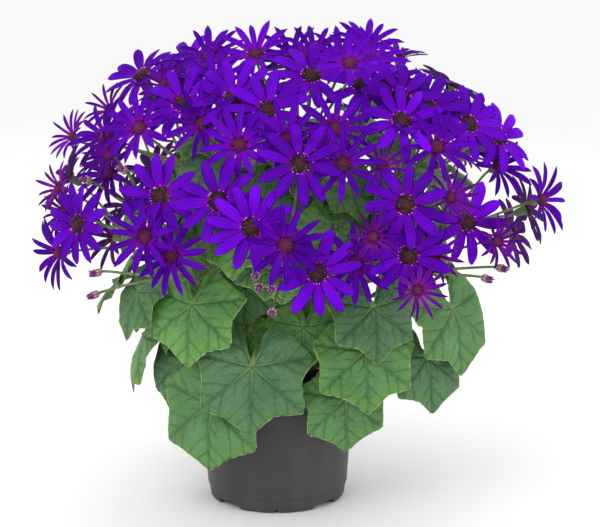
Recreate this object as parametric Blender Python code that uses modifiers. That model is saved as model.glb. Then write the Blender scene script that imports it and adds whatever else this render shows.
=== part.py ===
"""A florist cineraria in full flower, grown in its nursery pot.

Lengths are in millimetres in the tables and are turned into metres by MM.
+Z is up and the viewer of the tables stands on the -Y side.
"""

import math
import random

import bmesh
import bpy
from mathutils import Matrix, Vector
from mathutils.bvhtree import BVHTree

MM = 0.001
GOLDEN_ANGLE = math.pi * (3 - math.sqrt(5))
NEAR_AXIS = 0.1

# The nursery pot
POT_HEIGHT = 97
RIM_RADIUS = 69.5
RIM_BAND = 10
WALL_TOP_RADIUS = 66.5
WALL_LOW_RADIUS = 61.5
STEP_HEIGHT = 11
FOOT_RADIUS = 58
FOOT_WIDTH = 4.5
POT_WALL = 1.6
POT_STEPS = 28
STEP_WIDTH = 1
STEP_RISE = 1.5
FOOT_FLARE = 1.2
RIM_ROUND = 1
RIM_LIP = 2.6
RIM_UNDERCUT = 0.5
FLOOR_UNDERSIDE = 5
FLOOR_CORNER = 3
ARCH_HEIGHT = 4.6
ARCH_COUNT = 4
ARCH_TURN = 45
ARCH_HALF_LOW = 16
ARCH_HALF_HIGH = 10
ARCH_BELOW = 3
ARCH_REACH = 12
DRAIN_HOLES = 6
DRAIN_RADIUS = 4.5
DRAIN_RING = 40
DRAIN_TURN = 24
DRAIN_SIDES = 8
DRAIN_DEPTH = 20

# The potting soil
SOIL_LEVEL = 84
SOIL_CROWN = 6
SOIL_GAP = 0.3
SOIL_SIDE_GAP = 0.8
SOIL_STEPS = 16

# The crown and its flowering stems
CROWN_RADIUS = 8
CROWN_BOTTOM = 40
CROWN_WAIST = 92
CROWN_TOP = 134
TRUNK_RADII = (7, 7.4, 6)
FORK_HEIGHT = 128
FORK_SHARE = 0.3
FIRST_STALK = (0.35, 0.6)
TRUNK_SIDES = 8
STEM_RADII = (3.4, 2.8, 2.3)
STEM_SIDES = 4
STEM_GAP = 0.5
STEM_SHARE = 0.56
STEM_ARCH = 34
STEM_ARCH_SPAN = 260
STALK_RADII = (2.4, 1.8)
STALK_SIDES = 5
STALK_SHARE = 0.4
ELBOW_SHARE = 0.4
WOOD_CLEARANCE = 0.5

# The dome that the blooms stand on
DOME_CENTRE = Vector((22, 0, 235))
DOME_RADII = Vector((201, 188, 164))
CORYMB_COUNT = 21
CORYMB_HEIGHTS = (0.97, 1.2)

# The viewer who reads the bloom table, and the point that they look at
VIEW_CENTRE = Vector((20, 0, 206))
VIEW_DISTANCE = 1350
VIEW_HEIGHT_ANGLE = math.radians(10.5)

# How far a bloom turns from the dome's own facing towards the viewer, or towards the sky at the back
VIEWER_PULL = 0.7
SKY_PULL = 0.25

# One flower head: rays, how far they reach, their width, the disc's radius, the rays' rise
HEAD_KINDS = {
    "open": (9, 34, 10.4, 7.0, -1.0),
    "half": (8, 33, 6.6, 6.0, 6.0),
    "rear": (7, 34, 12.0, 7.0, -1.0),
    "star": (6, 24, 3.8, 4.5, 7.0),
}
RAY_ROOT = 1.8
RAY_KEEL = 1.5
RAY_WIDEST = 0.58
RAY_RISE_SHARE = 0.6
RAY_LIFT = 0.8
DISC_TAPER = 0.3
CUP_DEPTH = 9
DISC_RISE = 3
PEDUNCLE_RADII = (1.6, 1.36)
PEDUNCLE_SIDES = 3
PEDUNCLE_INTO_HEAD = 3
HEAD_CLEARANCE = 1.03
SPIN_STEP = 1.7
FAR_HIT = 12
BLOOM_DEPTHS = (0, -4, 4, -8, 8, -12, -16, 12, -20, -24, 16, -28, -32, 20, -36, 24)
BLOOM_LEANS = ((0, 0), (12, 0), (12, 90), (12, 180), (12, 270), (22, 45), (22, 135), (22, 225), (22, 315))
BLOOM_MOVES = [(tilt, turn, depth) for tilt, turn in BLOOM_LEANS for depth in BLOOM_DEPTHS]

# The blooms as the viewer sees them: across and up from the view's centre, and the kind
BLOOMS = (
    (-71, 54, "open"), (91, 51, "open"), (15, -8, "open"), (-121, 58, "open"),
    (95, 7, "open"), (151, 37, "open"), (0, 85, "open"), (-57, 144, "open"),
    (86, 142, "open"), (88, 123, "open"), (10, 163, "open"), (146, 121, "open"),
    (-102, 139, "open"), (-192, 34, "open"), (112, 137, "open"), (-95, 175, "open"),
    (-28, 133, "open"), (-137, 163, "open"), (-42, 31, "open"),
    (52, -2, "half"), (172, 109, "open"), (55, 156, "open"),
    (-10, 107, "half"), (-85, 123, "half"), (-53, 104, "half"), (-137, 115, "half"),
    (-134, 24, "half"), (-120, 6, "half"), (-12, 16, "half"), (37, 86, "half"),
    (31, 118, "half"), (40, 157, "half"), (-75, 161, "half"), (-108, 174, "half"),
    (-79, 179, "half"), (37, 183, "half"), (112, 152, "half"), (118, 101, "half"),
    (209, 55, "half"), (-38, 181, "half"), (-7, 189, "half"), (12, 183, "half"),
    (58, 187, "half"), (62, 175, "half"), (82, 173, "half"), (-169, 110, "half"),
    (-179, 85, "half"), (-204, 45, "star"), (-205, 10, "half"), (183, 90, "half"),
    (-117, 155, "star"), (75, 89, "star"), (-168, 136, "star"), (-197, 110, "star"),
    (-208, 65, "star"), (132, 139, "star"), (130, 57, "star"), (170, 19, "star"),
    (119, 7, "star"), (100, -22, "star"), (63, 23, "star"), (-165, 93, "star"),
)
# Closed buds, placed in the same way
BUDS = (
    (-38, -10), (-35, -20), (-24, -22), (-14, -10), (-24, -42), (-176, -8),
    (-178, -27), (-184, 72), (-153, 81), (-147, 45), (-115, 48), (-3, 185),
    (122, 87), (174, -4), (161, -13),
)
BACK_BLOOMS = 28
BACK_KINDS = ("rear", "half", "rear", "half", "star")
BACK_HEIGHTS = (0.93, 1.1)
BACK_SHIFT = 0.04
BACK_SEED = 5
BUD_LENGTH = 13
BUD_RADIUS = 3.6
BUD_SIDES = 5
BUD_SHOULDER = 0.8
BUD_BAND = 0.3
BUD_TIP = 0.6
BUD_FOOT = 0.35
BUD_STALK_GAP = 3

# Leaf joints in the pot's frame, blade size, heading from the front, droop
LEAVES = (
    (-19, -90, 137, 58, -6, 66), (-54, -78, 103, 60, -28, 78),
    (70, -82, 149, 52, 8, 62), (58, -76, 107, 48, 22, 78),
    (148, -44, 176, 56, 46, 66), (126, -60, 138, 50, 38, 70),
    (160, -8, 190, 30, 85, 40), (-70, -66, 186, 52, -30, 70),
    (-116, -42, 190, 42, -58, 62), (-86, -30, 164, 32, -62, 60),
    (-82, -50, 131, 52, -44, 74), (-102, 6, 140, 54, -82, 66),
    (28, -66, 166, 40, 0, 56), (96, -58, 186, 46, 34, 68),
    (-22, -58, 158, 25, -8, 50), (-142, 4, 188, 32, -96, 50),
    (84, 22, 140, 56, 100, 72), (52, 66, 118, 54, 142, 76),
    (-8, 80, 140, 58, 182, 68), (-62, 62, 122, 52, 222, 74),
    (118, 62, 182, 50, 122, 64), (30, 104, 178, 54, 168, 62),
    (-60, 100, 184, 52, 206, 64), (-116, 56, 178, 48, 250, 62),
)
BLADE_THICKNESS = 0.8
PETIOLE_RADII = (2.2, 1.98, 0.5)
PETIOLE_SIDES = 3
PETIOLE_BEND = 0.62
PETIOLE_ARCH = 14
PETIOLE_GAP = 2.2
PETIOLE_FOOT = 92
PETIOLE_CLIMB = 0.38
LOWEST_JOINT = 110
INTO_BLADE = 0.5
LEAF_CLEARANCE = 1.02
SWING_COST = 1.5
BLADE_DROP = 0.16
TIP_WAVE = -1.5
NOTCH_WAVE = 2.0
INNER_RING = 0.52
LEAF_MOVES = sorted(
    ((shift, lift, swing) for shift in (0, 5, -5, 10, -10, 15) for lift in (0, -6, 6, -12, 12)
     for swing in (0, 4, -4, 8, -8, 12, -12, 16, -16)),
    key=lambda move: abs(move[0]) + abs(move[1]) + SWING_COST * abs(move[2]),
)

# Blade outline as a share of its size: from the tip round to the basal lobe
LOBE_TIPS = ((0, 1.0), (50, 0.96), (102, 0.88), (155, 0.7))
LOBE_NOTCHES = ((25, 0.88), (76, 0.83), (129, 0.76))


def make_material(name, colour, roughness):
    material = bpy.data.materials.new(name)
    material.use_nodes = True
    shader = material.node_tree.nodes["Principled BSDF"]
    shader.inputs["Base Color"].default_value = (*colour, 1)
    shader.inputs["Roughness"].default_value = roughness
    shader.inputs["Metallic"].default_value = 0
    return material


def add_object(name, mesh, material=None, home=None):
    made = bpy.data.objects.new(name, mesh)
    (home or plant).objects.link(made)
    if material:
        mesh.materials.append(material)
    return made


def mesh_from(bm, name):
    mesh = bpy.data.meshes.new(name)
    bmesh.ops.recalc_face_normals(bm, faces=bm.faces)
    bm.to_mesh(mesh)
    bm.free()
    return mesh


def frozen_mesh(source, name):
    """The mesh that an object's modifiers give, as a mesh of its own."""
    bpy.context.view_layer.update()
    graph = bpy.context.evaluated_depsgraph_get()
    mesh = bpy.data.meshes.new_from_object(source.evaluated_get(graph))
    mesh.name = name
    return mesh


def fuse(name, meshes, material):
    """One solid of several closed meshes that run into each other."""
    group = bpy.data.collections.new(name + " pieces")
    guides.children.link(group)
    for mesh in meshes[1:]:
        add_object(name + " piece", mesh, home=group)
    whole = add_object(name, meshes[0], material)
    joint = whole.modifiers.new("Fuse", "BOOLEAN")
    joint.operation = "UNION"
    joint.solver = "MANIFOLD"
    joint.operand_type = "COLLECTION"
    joint.collection = group
    fused = frozen_mesh(whole, name)
    whole.modifiers.clear()
    keep_largest(fused)
    whole.data = fused
    for piece in list(group.objects):
        bpy.data.objects.remove(piece)
    bpy.data.collections.remove(group)
    fused.materials.clear()
    fused.materials.append(material)
    return whole


def keep_largest(mesh):
    """Drops loose scraps and the shells of hollows that a union has sealed."""
    bm = bmesh.new()
    bm.from_mesh(mesh)
    left = set(bm.verts)
    islands = []
    while left:
        edge = [left.pop()]
        island = set(edge)
        while edge:
            here = edge.pop()
            near = {link.other_vert(here) for link in here.link_edges} & left
            left -= near
            island |= near
            edge += near
        islands.append(island)
    islands.sort(key=len)
    for island in islands[:-1]:
        bmesh.ops.delete(bm, geom=list(island), context="VERTS")
    bm.to_mesh(mesh)
    bm.free()


def turned(name, profile, steps, material):
    """A profile of (radius, height) run round the vertical axis."""
    mesh = bpy.data.meshes.new(name)
    points = [(radius * MM, 0, height * MM) for radius, height in profile]
    pairs = [(i, (i + 1) % len(points)) for i in range(len(points))]
    edges = [(a, b) for a, b in pairs if profile[a][0] > 0 or profile[b][0] > 0]
    mesh.from_pydata(points, edges, [])
    made = add_object(name, mesh, material)
    screw = made.modifiers.new("Turn", "SCREW")
    screw.steps = steps
    screw.render_steps = steps
    screw.use_merge_vertices = True
    screw.merge_threshold = 0.00001
    return made


def tube_mesh(points, radii, sides):
    """A closed tube through the points, each ring square to the run through it."""
    bm = bmesh.new()
    rings = []
    side = Vector((0.31, 0.17, 0.93))
    for i, point in enumerate(points):
        run = (points[min(i + 1, len(points) - 1)] - points[max(i - 1, 0)]).normalized()
        side = (side - run * side.dot(run)).normalized()
        other = run.cross(side)
        ring = []
        for k in range(sides):
            turn = 2 * math.pi * k / sides
            offset = side * math.cos(turn) + other * math.sin(turn)
            ring.append(bm.verts.new((point + offset * radii[i]) * MM))
        rings.append(ring)
    for low, high in zip(rings, rings[1:]):
        for k in range(sides):
            after = (k + 1) % sides
            bm.faces.new((low[k], low[after], high[after], high[k]))
    bm.faces.new(rings[0][::-1])
    bm.faces.new(rings[-1])
    return mesh_from(bm, "tube")


def bezier(start, middle, end, count):
    points = []
    for i in range(count):
        t = i / (count - 1)
        points.append(start * (1 - t) ** 2 + middle * 2 * t * (1 - t) + end * t * t)
    return points


def build_pot():
    inner_low = WALL_LOW_RADIUS - POT_WALL
    profile = [
        (FOOT_RADIUS, 0),
        (FOOT_RADIUS + FOOT_FLARE, 2 * FOOT_FLARE),
        (WALL_LOW_RADIUS - STEP_WIDTH, STEP_HEIGHT),
        (WALL_LOW_RADIUS, STEP_HEIGHT + STEP_RISE),
        (WALL_TOP_RADIUS, POT_HEIGHT - RIM_BAND),
        (RIM_RADIUS - RIM_UNDERCUT, POT_HEIGHT - RIM_BAND + RIM_UNDERCUT),
        (RIM_RADIUS, POT_HEIGHT - RIM_ROUND),
        (RIM_RADIUS - RIM_ROUND, POT_HEIGHT),
        (RIM_RADIUS - RIM_LIP, POT_HEIGHT),
        (inner_low, STEP_HEIGHT + STEP_RISE),
        (FOOT_RADIUS - FLOOR_CORNER, FLOOR_UNDERSIDE + POT_WALL),
        (0, FLOOR_UNDERSIDE + POT_WALL),
        (0, FLOOR_UNDERSIDE),
        (FOOT_RADIUS - FOOT_WIDTH, FLOOR_UNDERSIDE),
        (FOOT_RADIUS - FOOT_WIDTH, 0),
    ]
    pot = turned("pot", profile[::-1], POT_STEPS, pot_plastic)
    for arch in range(ARCH_COUNT):
        cutter = arch_cutter(math.radians(ARCH_TURN + 360 * arch / ARCH_COUNT))
        cut = pot.modifiers.new("Arch", "BOOLEAN")
        cut.operation = "DIFFERENCE"
        cut.object = cutter
    for hole in range(DRAIN_HOLES):
        turn = math.radians(DRAIN_TURN + 360 * hole / DRAIN_HOLES)
        bm = bmesh.new()
        bmesh.ops.create_cone(
            bm, cap_ends=True, segments=DRAIN_SIDES, depth=DRAIN_DEPTH * MM,
            radius1=DRAIN_RADIUS * MM, radius2=DRAIN_RADIUS * MM,
        )
        cutter = add_object("drain cutter", mesh_from(bm, "drain"), home=cutters)
        cutter.location = Vector((math.cos(turn), math.sin(turn), 0)) * DRAIN_RING * MM
        cutter.hide_render = True
        cutter.display_type = "WIRE"
        cut = pot.modifiers.new("Drain", "BOOLEAN")
        cut.operation = "DIFFERENCE"
        cut.object = cutter
    return pot


def arch_cutter(middle):
    """A tapered block that cuts the gap between two feet through the foot ring."""
    half_low = math.radians(ARCH_HALF_LOW) * FOOT_RADIUS
    half_high = math.radians(ARCH_HALF_HIGH) * FOOT_RADIUS
    bm = bmesh.new()
    bmesh.ops.create_cube(bm, size=1)
    for vert in bm.verts:
        high = vert.co.z > 0
        half = half_high if high else half_low
        vert.co = Vector((
            (FOOT_RADIUS + math.copysign(ARCH_REACH, vert.co.x)) * MM,
            math.copysign(half, vert.co.y) * MM,
            (ARCH_HEIGHT if high else -ARCH_BELOW) * MM,
        ))
    cutter = add_object("arch cutter", mesh_from(bm, "arch"), home=cutters)
    cutter.rotation_euler = (0, 0, middle)
    cutter.hide_render = True
    cutter.display_type = "WIRE"
    return cutter


def build_soil():
    low = FLOOR_UNDERSIDE + POT_WALL + SOIL_GAP
    wall_foot = STEP_HEIGHT + STEP_RISE
    slope = (RIM_RADIUS - RIM_LIP - WALL_LOW_RADIUS + POT_WALL) / (POT_HEIGHT - wall_foot)
    low_radius = WALL_LOW_RADIUS - POT_WALL - SOIL_SIDE_GAP
    top_radius = low_radius + slope * (SOIL_LEVEL - wall_foot)
    hole = CROWN_RADIUS + SOIL_GAP
    profile = [
        (hole, CROWN_BOTTOM - SOIL_GAP),
        (0, CROWN_BOTTOM - SOIL_GAP),
        (0, low),
        (FOOT_RADIUS - FLOOR_CORNER - 2, low),
        (low_radius, wall_foot + 2),
        (top_radius, SOIL_LEVEL),
        (top_radius * 0.7, SOIL_LEVEL + SOIL_CROWN * 0.5),
        (top_radius * 0.35, SOIL_LEVEL + SOIL_CROWN * 0.9),
        (hole, SOIL_LEVEL + SOIL_CROWN),
    ]
    return turned("potting_soil", profile[::-1], SOIL_STEPS, soil_mix)


def view_axes():
    forward = Vector((0, math.cos(VIEW_HEIGHT_ANGLE), -math.sin(VIEW_HEIGHT_ANGLE)))
    up = Vector((0, math.sin(VIEW_HEIGHT_ANGLE), math.cos(VIEW_HEIGHT_ANGLE)))
    return forward, up


def squeezed(point):
    """The dome as a unit ball."""
    return Vector([(point[i] - DOME_CENTRE[i]) / DOME_RADII[i] for i in range(3)])


def on_dome(direction):
    """The dome's point and outward normal along a direction of the unit ball."""
    unit = direction.normalized()
    point = Vector([DOME_CENTRE[i] + unit[i] * DOME_RADII[i] for i in range(3)])
    normal = Vector([unit[i] / DOME_RADII[i] for i in range(3)]).normalized()
    return point, normal


def seen_on_dome(across, up_by):
    """Where the viewer's line of sight meets the near side of the dome, or passes closest."""
    forward, up = view_axes()
    eye = VIEW_CENTRE - forward * VIEW_DISTANCE
    target = VIEW_CENTRE + Vector((1, 0, 0)) * across + up * up_by
    start = squeezed(eye)
    run = squeezed(target) - start
    a, b, c = run.dot(run), 2 * start.dot(run), start.dot(start) - 1
    inside = b * b - 4 * a * c
    t = (-b - math.sqrt(max(inside, 0))) / (2 * a)
    near = start + run * t
    point, normal = on_dome(near)
    return DOME_CENTRE + (point - DOME_CENTRE) * max(1, near.length), normal


def head_mesh(kind, matrix):
    """A flower head about its own axis: disc, ring of rays and the cup beneath, in one closed mesh."""
    rays, reach, width, disc, rise = HEAD_KINDS[kind]
    bm = bmesh.new()
    bmesh.ops.create_cone(
        bm, cap_ends=True, cap_tris=True, segments=rays,
        radius1=disc - DISC_TAPER, radius2=disc, depth=RAY_ROOT,
    )
    for vert in bm.verts:
        if vert.co.xy.length < NEAR_AXIS:
            vert.co.z = DISC_RISE if vert.co.z > 0 else -CUP_DEPTH
    sides = [face for face in bm.faces if len(face.verts) == 4]
    middle = disc + (reach - disc) * RAY_WIDEST
    level = rise * RAY_RISE_SHARE + RAY_LIFT
    grown = bmesh.ops.extrude_discrete_faces(bm, faces=sides)["faces"]
    for face in grown:
        out = face.calc_center_median().xy.normalized().to_3d()
        along = Vector((-out.y, out.x, 0))
        for vert in face.verts:
            if vert.co.z > 0:
                edge = math.copysign(width / 2, vert.co.dot(along))
                vert.co = out * middle + along * edge + Vector((0, 0, level))
            else:
                vert.co = out * middle + Vector((0, 0, level - RAY_KEEL))
    tips = bmesh.ops.extrude_discrete_faces(bm, faces=grown)["faces"]
    for face in tips:
        out = face.calc_center_median().xy.normalized().to_3d()
        for vert in face.verts:
            vert.co = out * reach + Vector((0, 0, rise))
    bmesh.ops.remove_doubles(bm, verts=bm.verts, dist=0.01)
    bmesh.ops.transform(bm, matrix=matrix, verts=bm.verts)
    bmesh.ops.scale(bm, vec=(MM, MM, MM), verts=bm.verts)
    return mesh_from(bm, "head")


def bud_mesh(matrix):
    """A closed bud: a spindle widest near its cup."""
    bm = bmesh.new()
    bmesh.ops.create_cone(
        bm, cap_ends=True, cap_tris=True, segments=BUD_SIDES,
        radius1=BUD_RADIUS, radius2=BUD_RADIUS * BUD_SHOULDER, depth=BUD_LENGTH * BUD_BAND,
    )
    for vert in bm.verts:
        if vert.co.xy.length < NEAR_AXIS:
            vert.co.z = BUD_LENGTH * (BUD_TIP if vert.co.z > 0 else -BUD_FOOT)
    bmesh.ops.transform(bm, matrix=matrix, verts=bm.verts)
    bmesh.ops.scale(bm, vec=(MM, MM, MM), verts=bm.verts)
    return mesh_from(bm, "bud")


def facing(point, axis, spin):
    turn = axis.to_track_quat("Z", "Y").to_matrix().to_4x4()
    return Matrix.Translation(point) @ turn @ Matrix.Rotation(spin, 4, "Z")


def tree_of(meshes, swell=1.0):
    """A search tree over meshes, each swollen a little about its own middle."""
    points, faces = [], []
    for mesh in meshes:
        start = len(points)
        middle = sum((v.co for v in mesh.vertices), Vector()) / len(mesh.vertices)
        points += [middle + (v.co - middle) * swell for v in mesh.vertices]
        faces += [[start + i for i in face.vertices] for face in mesh.polygons]
    return BVHTree.FromPolygons(points, faces)


def bloom_places():
    """Every head and bud: its kind, its point on the dome and the way it faces."""
    forward = view_axes()[0]
    places = []
    for x, z, kind in [*BLOOMS, *[(*bud, "bud") for bud in BUDS]]:
        point, outward = seen_on_dome(x, z)
        places.append((kind, point, (outward - forward * VIEWER_PULL).normalized()))
    chance = random.Random(BACK_SEED)
    top, depth = BACK_HEIGHTS
    for i in range(BACK_BLOOMS):
        height = top - depth * (i + 0.5) / BACK_BLOOMS
        turn = (i * GOLDEN_ANGLE) % math.pi
        spread = math.sqrt(1 - height * height)
        back = spread * math.sin(turn) * (1 - BACK_SHIFT) + BACK_SHIFT
        side = Vector((spread * math.cos(turn), back, height))
        kind = BACK_KINDS[chance.randrange(len(BACK_KINDS))]
        point, outward = on_dome(side)
        places.append((kind, point, (outward + Vector((0, 0, SKY_PULL))).normalized()))
    return places


def bunches_of(places):
    """The blooms shared out among corymbs whose seats are spread evenly over the dome."""
    seats = []
    top, depth = CORYMB_HEIGHTS
    for i in range(CORYMB_COUNT):
        height = top - depth * (i + 0.5) / CORYMB_COUNT
        spread = math.sqrt(1 - height * height)
        turn = i * GOLDEN_ANGLE
        side = Vector((spread * math.cos(turn), spread * math.sin(turn), height))
        seats.append(on_dome(side)[0])
    bunches = [[] for _ in seats]
    for place in places:
        nearest = min(range(len(seats)), key=lambda i: (seats[i] - place[1]).length)
        bunches[nearest].append(place)
    return [bunch for bunch in bunches if bunch]


def settle_bloom(place, start, spin, number, standing, wood):
    """A head and its stalk, slid along its facing to the first depth where nothing is touched."""
    kind, point, outward = place
    sideways = outward.orthogonal().normalized()
    gap = BUD_STALK_GAP if kind == "bud" else CUP_DEPTH - PEDUNCLE_INTO_HEAD
    best = None
    for tilt, turn, depth in BLOOM_MOVES:
        lean = Matrix.Rotation(math.radians(tilt), 3, sideways)
        axis = Matrix.Rotation(math.radians(turn), 3, outward) @ (lean @ outward)
        seat = point + outward * depth
        matrix = facing(seat, axis, spin)
        head = bud_mesh(matrix) if kind == "bud" else head_mesh(kind, matrix)
        stalk = tube_mesh([start, seat - axis * gap], PEDUNCLE_RADII, PEDUNCLE_SIDES)
        head_tree = tree_of([head], HEAD_CLEARANCE)
        stalk_tree = tree_of([stalk], HEAD_CLEARANCE)
        hits = 0
        for owner, other_head, other_stalk in standing:
            near = len(head_tree.overlap(other_head)) + len(head_tree.overlap(other_stalk))
            near += len(stalk_tree.overlap(other_head))
            if owner != number:
                near += len(stalk_tree.overlap(other_stalk))
            hits += near if owner == number else FAR_HIT * near
        for owner, tree in wood:
            if owner != number:
                hits += FAR_HIT * (len(head_tree.overlap(tree)) + len(stalk_tree.overlap(tree)))
        if best is None or hits < best[0]:
            best = (hits, head, stalk)
        if hits == 0:
            break
    hits, head, stalk = best
    standing.append((number, tree_of([head]), tree_of([stalk])))
    return head, stalk


def build_plant():
    """The crown with its stems as one node, and a node for each corymb of blooms."""
    crown = Vector((0, 0, FORK_HEIGHT))
    trunk = [Vector((0, 0, z)) for z in (CROWN_BOTTOM, CROWN_WAIST, CROWN_TOP)]
    stems = [tube_mesh(trunk, TRUNK_RADII, TRUNK_SIDES)]
    bunches = bunches_of(bloom_places())
    stem_clear = [radius + WOOD_CLEARANCE for radius in STEM_RADII]
    stalk_clear = [radius + WOOD_CLEARANCE for radius in STALK_RADII]
    roots = []
    wood = []
    for number, bunch in enumerate(bunches):
        middle = sum((place[1] for place in bunch), Vector()) / len(bunch)
        root = crown.lerp(middle, STEM_SHARE)
        root.z += STEM_ARCH * max(0, 1 - (middle.z - crown.z) / STEM_ARCH_SPAN)
        top = root.lerp(middle, STALK_SHARE)
        run = (top - root).normalized()
        tip = root - run * STEM_GAP
        elbow = tip - run * (tip - crown).length * ELBOW_SHARE
        stems.append(tube_mesh([crown, elbow, tip], STEM_RADII, STEM_SIDES))
        clear_of_fork = [crown.lerp(elbow, FORK_SHARE), elbow, tip]
        wood.append((number, tree_of([tube_mesh(clear_of_fork, stem_clear, STALK_SIDES)])))
        wood.append((number, tree_of([tube_mesh([root, top], stalk_clear, STALK_SIDES)])))
        roots.append((root, top))
    standing = []
    corymbs = []
    first, span = FIRST_STALK
    for number, bunch in enumerate(bunches):
        root, top = roots[number]
        pieces = [tube_mesh([root, top], STALK_RADII, STALK_SIDES)]
        for order, place in enumerate(bunch):
            start = root.lerp(top, first + span * (order + 1) / (len(bunch) + 1))
            spin = number + order * SPIN_STEP
            pieces += settle_bloom(place, start, spin, number, standing, wood)
        corymbs.append(pieces)
    fuse("stem", stems, stem_green)
    for number, pieces in enumerate(corymbs, 1):
        fuse(f"corymb_{number:02d}", pieces, bloom_purple)


def blade_mesh(size, seed):
    """A cordate blade with angular lobes, waved at the edge, both faces split alike."""
    chance = random.Random(seed)
    tips = [(-a, r) for a, r in LOBE_TIPS[:0:-1]] + list(LOBE_TIPS)
    notches = [(-a, r) for a, r in LOBE_NOTCHES[::-1]] + list(LOBE_NOTCHES)
    bm = bmesh.new()

    def place(angle, radius, wave):
        turn = math.radians(angle)
        share = radius * size
        drop = wave - BLADE_DROP * size * radius * radius
        return bm.verts.new((math.sin(turn) * share, math.cos(turn) * share, drop))

    centre = bm.verts.new((0, 0, 0))
    inner = [place(angle, radius * INNER_RING, 0) for angle, radius in tips]
    outer_tips = [place(a, r * chance.uniform(0.96, 1.04), TIP_WAVE) for a, r in tips]
    outer_notches = [place(a, r * chance.uniform(0.97, 1.03), NOTCH_WAVE) for a, r in notches]
    for i in range(len(tips) - 1):
        bm.faces.new((centre, inner[i + 1], inner[i]))
        bm.faces.new((inner[i], inner[i + 1], outer_notches[i]))
        bm.faces.new((inner[i], outer_notches[i], outer_tips[i]))
        bm.faces.new((inner[i + 1], outer_tips[i + 1], outer_notches[i]))
    return mesh_from(bm, "blade")


def leaf_meshes(number, row, shift, lift, swing):
    """The blade and petiole of a leaf whose joint is moved out by shift, up by lift and round by swing."""
    x, y, z, size, heading, droop = row
    round_up = Matrix.Rotation(math.radians(swing), 3, "Z")
    joint = round_up @ Vector((x, y, z))
    plan = Vector((joint.x, joint.y, 0)).normalized()
    joint += plan * shift + Vector((0, 0, lift))
    turn = math.radians(heading + swing)
    outward = Vector((math.sin(turn), -math.cos(turn), 0))
    lean = math.radians(droop)
    along = outward * math.cos(lean) - Vector((0, 0, 1)) * math.sin(lean)
    normal = outward * math.sin(lean) + Vector((0, 0, 1)) * math.cos(lean)
    across = along.cross(normal)
    frame = Matrix((across, along, normal)).transposed().to_4x4()
    blade = blade_mesh(size, number)
    if sum(face.normal.z for face in blade.polygons) < 0:
        blade.flip_normals()
    blade.transform(Matrix.Scale(MM, 4) @ Matrix.Translation(joint) @ frame)
    foot_height = PETIOLE_FOOT + max(0, z - LOWEST_JOINT) * PETIOLE_CLIMB
    foot = plan * (CROWN_RADIUS + PETIOLE_GAP) + Vector((0, 0, foot_height))
    reach = math.hypot(joint.x, joint.y)
    bend = plan * reach * PETIOLE_BEND + Vector((0, 0, joint.z + PETIOLE_ARCH))
    path = bezier(foot, bend, joint - normal * INTO_BLADE, len(PETIOLE_RADII))
    return blade, tube_mesh(path, PETIOLE_RADII, PETIOLE_SIDES)


def thickened(blade):
    sheet = add_object("blade", blade)
    shell = sheet.modifiers.new("Thickness", "SOLIDIFY")
    shell.thickness = BLADE_THICKNESS * MM
    shell.offset = -1
    solid = frozen_mesh(sheet, "blade solid")
    bpy.data.objects.remove(sheet)
    return solid


def build_leaves():
    """Each leaf is moved a little from its place in the table until it touches nothing."""
    standing = []
    for made in plant.objects:
        if made.name.startswith(("stem", "corymb", "pot")):
            standing.append(tree_of([frozen_mesh(made, "test")]))
    for number, row in enumerate(LEAVES, 1):
        best = None
        for shift, lift, swing in LEAF_MOVES:
            blade, petiole = leaf_meshes(number, row, shift, lift, swing)
            test = tree_of([thickened(blade), petiole], LEAF_CLEARANCE)
            hits = sum(len(test.overlap(tree)) for tree in standing)
            if best is None or hits < best[0]:
                best = (hits, blade, petiole)
            if hits == 0:
                break
        hits, blade, petiole = best
        leaf = fuse(f"leaf_{number:02d}", [thickened(blade), petiole], leaf_green)
        standing.append(tree_of([leaf.data]))


def centre_on_footprint():
    """Moves everything so that the origin is under the middle of the plant's spread, at ground level."""
    corners = []
    for made in plant.objects:
        corners += [made.matrix_world @ v.co for v in frozen_mesh(made, "spread").vertices]
    middle = Vector((0, 0, 0))
    for i in range(2):
        middle[i] = (min(c[i] for c in corners) + max(c[i] for c in corners)) / 2
    for made in [*plant.objects, *cutters.objects]:
        made.location -= middle


for old in list(bpy.data.objects):
    bpy.data.objects.remove(old)
plant = bpy.data.collections.new("Potted cineraria")
bpy.context.scene.collection.children.link(plant)
cutters = bpy.data.collections.new("Cutters")
bpy.context.scene.collection.children.link(cutters)
guides = bpy.data.collections.new("Guides")
bpy.context.scene.collection.children.link(guides)

pot_plastic = make_material("Pot plastic", (0.06, 0.055, 0.06), 0.55)
soil_mix = make_material("Potting soil", (0.05, 0.035, 0.025), 0.95)
stem_green = make_material("Stem green", (0.16, 0.28, 0.08), 0.6)
leaf_green = make_material("Leaf green", (0.09, 0.23, 0.07), 0.6)
bloom_purple = make_material("Bloom purple", (0.1, 0.0, 0.6), 0.55)

build_pot()
build_soil()
build_plant()
build_leaves()
centre_on_footprint()
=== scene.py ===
"""A florist cineraria in full flower, in its nursery pot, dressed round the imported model.

Tables are in millimetres about the pot's own upright axis; MM turns them into metres.
"""

import math
import random

import bpy
import numpy as np
from mathutils import Matrix, Vector
from mathutils.kdtree import KDTree


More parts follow.
